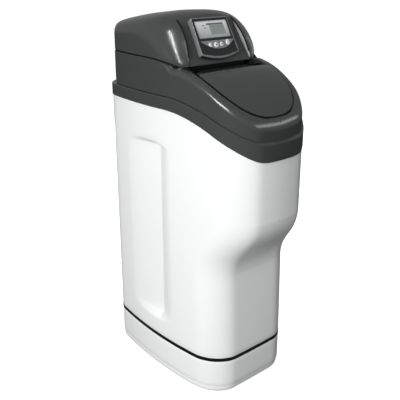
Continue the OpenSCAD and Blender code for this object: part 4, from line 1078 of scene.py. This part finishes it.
def key_cap(name, outline, node, body, marks_on_cap):
    """A key: its cap domed by two drawn-in rings, its stem, and printed marks just above it."""
    cx = sum(p[0] for p in outline) / len(outline)
    cy = sum(p[1] for p in outline) / len(outline)

    def drawn(share):
        return [(cx + (x - cx) * share, cy + (y - cy) * share) for x, y in outline]

    heights = [(1, -4.4), (1, 0.2), (0.97, 0.62), (0.9, 0.92), (0.75, 1.08), (0.4, 1.18), (0.05, key_rise)]
    cap = solid(name, [flat_ring(drawn(share), w) for share, w in heights])
    shade(cap, 50)
    seat_on_panel(cap)
    dress(cap, key_white, body, [node])
    for i, outline_of_mark in enumerate(marks_on_cap):
        print_mark = flat_plate(f"{name}_mark_{i}", outline_of_mark, key_rise - 0.5, key_rise + print_t)
        seat_on_panel(print_mark)
        dress(print_mark, mark_dark, body)


def arrow(x, y, size, way):
    return [(x - size, y), (x + size, y), (x, y + way * 1.4 * size)][:: way]


mark_up = 1.4
key_cap("key_menu_cap", disc(small_key_r, menu_at), "key_menu", "menu_key",
        [rounded_box(2.2, 0.7, 0.5, 4, (menu_at[0], menu_at[1] + mark_up * way)) for way in (1, -1)])
key_cap("key_set_cap", disc(set_key_r, set_at), "key_set", "set_key", [disc(2.2, set_at, 32)])
key_cap("key_clock_cap", disc(small_key_r, clock_at), "key_clock", "clock_key",
        [rounded_box(2.0, 2.0, 0.6, 4, clock_at)])
key_cap("key_rocker_cap", oval(0, rocker_at), "key_rocker", "rocker_key",
        [arrow(rocker_at[0], rocker_at[1] + mark_up * way, 1.6, way) for way in (1, -1)])

# Inner pieces
# What the hood and lid cover: the wound resin vessel, the valve with its drive, the bypass, the pipework and
# the brine well. Their shapes come with the frame, and each gets its own finish here.

# Each moulding's own tone, sheen and grain: a glossy board, a dull boot, milky polypropylene, a dry glass-filled
# valve, a plated motor case, clean acetal knobs, a milky tube and a rough foam float.
finishes = {
    "black_rubber": black_rubber,
    "charcoal_cover": charcoal_abs,
    "board_green": moulded("green_solder_mask", "#1d5a35", "#174d2c", 0.3, 1.5, 0.02, 12),
    "boot_black": moulded("black_polypropylene_boot", "#161718", "#1b1c1d", 0.55, 1.2, 0.05, 60),
    "natural_plastic": moulded("natural_polypropylene", "#d9d6c8", "#cfccbd", 0.42, 1.5, 0.02, 40),
    "valve_black": moulded("glass_filled_noryl", "#202224", "#282a2c", 0.5, 0.8, 0.05, 30),
    "motor_case": moulded("motor_zinc_plate", "#9aa0a3", "#8b9195", 0.35, 2, 0.01, 30),
    "knob_red": moulded("red_acetal_knob", "#a8231f", "#98201c", 0.35, 1, 0.02, 25),
    "knob_blue": moulded("blue_acetal_knob", "#1f4f9c", "#1b468c", 0.35, 1, 0.02, 25),
    "line_white": moulded("white_polyethylene_tube", "#e3e4e0", "#d8d9d4", 0.38, 1.5, 0.02, 40),
    "float_plastic": moulded("white_foam_float", "#e6e2d8", "#dcd8cd", 0.6, 2.5, 0.15, 30),
}

# Drawn steel and cast brass: bright metals with fine turning marks and a little tarnish.
for slot_name, tint, dull in (("bright_steel", "#c9cbcc", "#a9acae"), ("tail_brass", "#c8a55b", "#9f8145")):
    metal, tree, shader = new_material(slot_name + "_turned")
    place = object_place(tree)
    two_tone(tree, shader, noise(tree, place, 14, 4.0), linear(tint), linear(dull))
    vary(tree, shader, "Roughness", noise(tree, place, 0.9), 0.22, 0.38)
    shader.inputs["Metallic"].default_value = 1.0
    finishes[slot_name] = metal

# Glass-fibre wound vessel: crossed bands of roving under blue resin, with a soft gloss.
wound, tree, shader = new_material("wound_glass_fibre")
place, bands, band_lean, band_mm = object_place(tree), [], math.radians(38), 14
for lean in (band_lean, -band_lean):
    turned = add_node(tree, "ShaderNodeMapping", Vector=place, Rotation=(lean, lean, 0)).outputs["Vector"]
    rows = {"Scale": 1 / (band_mm * MM) / math.tau, "Distortion": 1.5, "Detail": 2.0}
    band = add_node(tree, "ShaderNodeTexWave", {"bands_direction": "Z"}, Vector=turned, **rows)
    bands.append(band.outputs["Fac"])
weave = add_node(tree, "ShaderNodeMath", {"operation": "MAXIMUM"}, _0=bands[0], _1=bands[1]).outputs["Value"]
two_tone(tree, shader, weave, linear("#33506b"), linear("#4f7291"))
emboss(tree, shader, weave, 0.4, 0.4)
shader.inputs["Roughness"].default_value = 0.38
finishes["vessel_wrap"] = wound

# The hinge lies in shadow under the hood: its pieces are given the dark boot material as painted shade, darker
# than the covers.
hinge_shade_nodes = {"hinge_deck": "boot_black", "hinge_rod": "boot_black", "lid_arms": "boot_black"}
slot_of = {row["node"]: row["material_slot"] for row in frame["record"]["subparts"]}
for name, node in frame["nodes"].items():
    if node.hide_render:
        continue
    node.data.materials.clear()
    node.data.materials.append(finishes[hinge_shade_nodes.get(name, slot_of[name])])

# Floor, light and camera
# A pale floor, a bright soft studio, and a camera at the photograph's angle. The floor keeps the shadow.



def seen_directly(tree):
    """1 for what the camera sees, also through a clear pane, and 0 for light on its way round the room."""
    path = add_node(tree, "ShaderNodeLightPath").outputs
    rays = {"_0": path["Is Camera Ray"], "_1": path["Is Transmission Ray"]}
    return add_node(tree, "ShaderNodeMath", {"operation": "MAXIMUM"}, **rays).outputs["Value"]


bpy.ops.object.select_all(action="DESELECT")
bpy.ops.mesh.primitive_plane_add(size=60, location=(0, 0, -0.0005))
floor = bpy.context.object
floor.name = "studio_floor"
floor_paint, tree, shader = new_material("pale_studio_floor")
tree.nodes.remove(shader)
dull_floor = add_node(tree, "ShaderNodeBsdfDiffuse", Color=(0.12, 0.12, 0.12, 1))
lit_floor = add_node(tree, "ShaderNodeBsdfDiffuse", Color=(0.8, 0.8, 0.8, 1))
glow = add_node(tree, "ShaderNodeEmission", Strength=0.78)
white_floor = add_node(tree, "ShaderNodeAddShader", _0=lit_floor.outputs["BSDF"], _1=glow.outputs["Emission"])
floor_ends = {"_1": dull_floor.outputs["BSDF"], "_2": white_floor.outputs["Shader"]}
floor_mix = add_node(tree, "ShaderNodeMixShader", _0=seen_directly(tree), **floor_ends)
tree.links.new(floor_mix.outputs["Shader"], tree.nodes["Material Output"].inputs["Surface"])
floor.data.materials.append(floor_paint)

world = bpy.data.worlds.new("white_studio")
bpy.context.scene.world = world
world.use_nodes = True
tree = world.node_tree
sky = tree.nodes["Background"]
vary(tree, sky, "Strength", seen_directly(tree), 0.32, 1.0)
sky.inputs["Color"].default_value = (1, 1, 1, 1)


def lamp(name, place, aim, size, watts):
    """A softbox at a place, turned to what it lights, and kept out of the mirror of glossy pieces."""
    data = bpy.data.lights.new(name, "AREA")
    data.shape = "RECTANGLE"
    data.size, data.size_y = size
    data.energy = watts
    light = bpy.data.objects.new(name, data)
    bpy.context.scene.collection.objects.link(light)
    away = [a - b for a, b in zip(place, aim)]
    light.location = place
    flat = math.hypot(away[0], away[1])
    light.rotation_euler = (math.atan2(flat, away[2]), 0, math.atan2(away[0], -away[1]))
    light.visible_glossy = False
    return light


lamp("left_softbox", (-2.55, -0.92, 1.42), (0, 0, 0.35), (1.4, 1.5), 76)
lamp("top_softbox", (0.0, -0.4, 2.9), (0, 0, 0.6), (1.8, 1.8), 4)
lamp("front_softbox", (-0.3, -2.5, 1.05), (0, 0, 0.35), (1.2, 1.2), 6)
lamp("back_softbox", (1.6, 2.2, 1.2), (0, 0, 0.5), (1.4, 2.2), 50)


def flagged_strip(name, pieces, place, aim, size, watts):
    """A strip lamp with flags round it, which only draws a bright line on the shoulders of some dark pieces."""
    light = lamp(name, place, aim, size, watts)
    light.visible_glossy = True
    light.visible_diffuse = False
    receivers = bpy.data.collections.new(name + "_pieces")
    for piece in pieces:
        receivers.objects.link(piece)
    light.light_linking.receiver_collection = receivers


hood_pieces = (hood, bead, bezel)
flagged_strip("hood_strip", hood_pieces, (-0.62, -1.45, 2.27), (-0.12, -0.02, 0.92), (0.05, 3.1), 58)
flagged_strip("hood_side_strip", hood_pieces, (0.46, -1.95, 2.28), (-0.1, -0.04, 0.9), (0.08, 1.8), 3.5)
flagged_strip("right_strip", hood_pieces, (2.4, 0.2, 1.1), (0.1, 0, 0.9), (0.4, 1.0), 1.2)
flagged_strip("cover_strip", (cover,), (-2.24, -0.85, 2.01), (-0.13, -0.19, 0.8), (1.7, 0.8), 105)
flagged_strip("front_strip", (cover,), (1.4, -1.9, 1.92), (-0.03, -0.25, 0.75), (2.2, 0.4), 12)

bpy.context.scene.view_settings.view_transform = "Standard"
camera_data = bpy.data.cameras.new("photo_camera")
camera_data.lens = 57.0857
camera_data.sensor_width = 36
camera = bpy.data.objects.new("photo_camera", camera_data)
bpy.context.scene.collection.objects.link(camera)
camera.location = (-1.09421, -1.22943, 1.10136)
camera.rotation_euler = (math.radians(69.4437), 0, math.radians(-40.9558))
bpy.context.scene.camera = camera
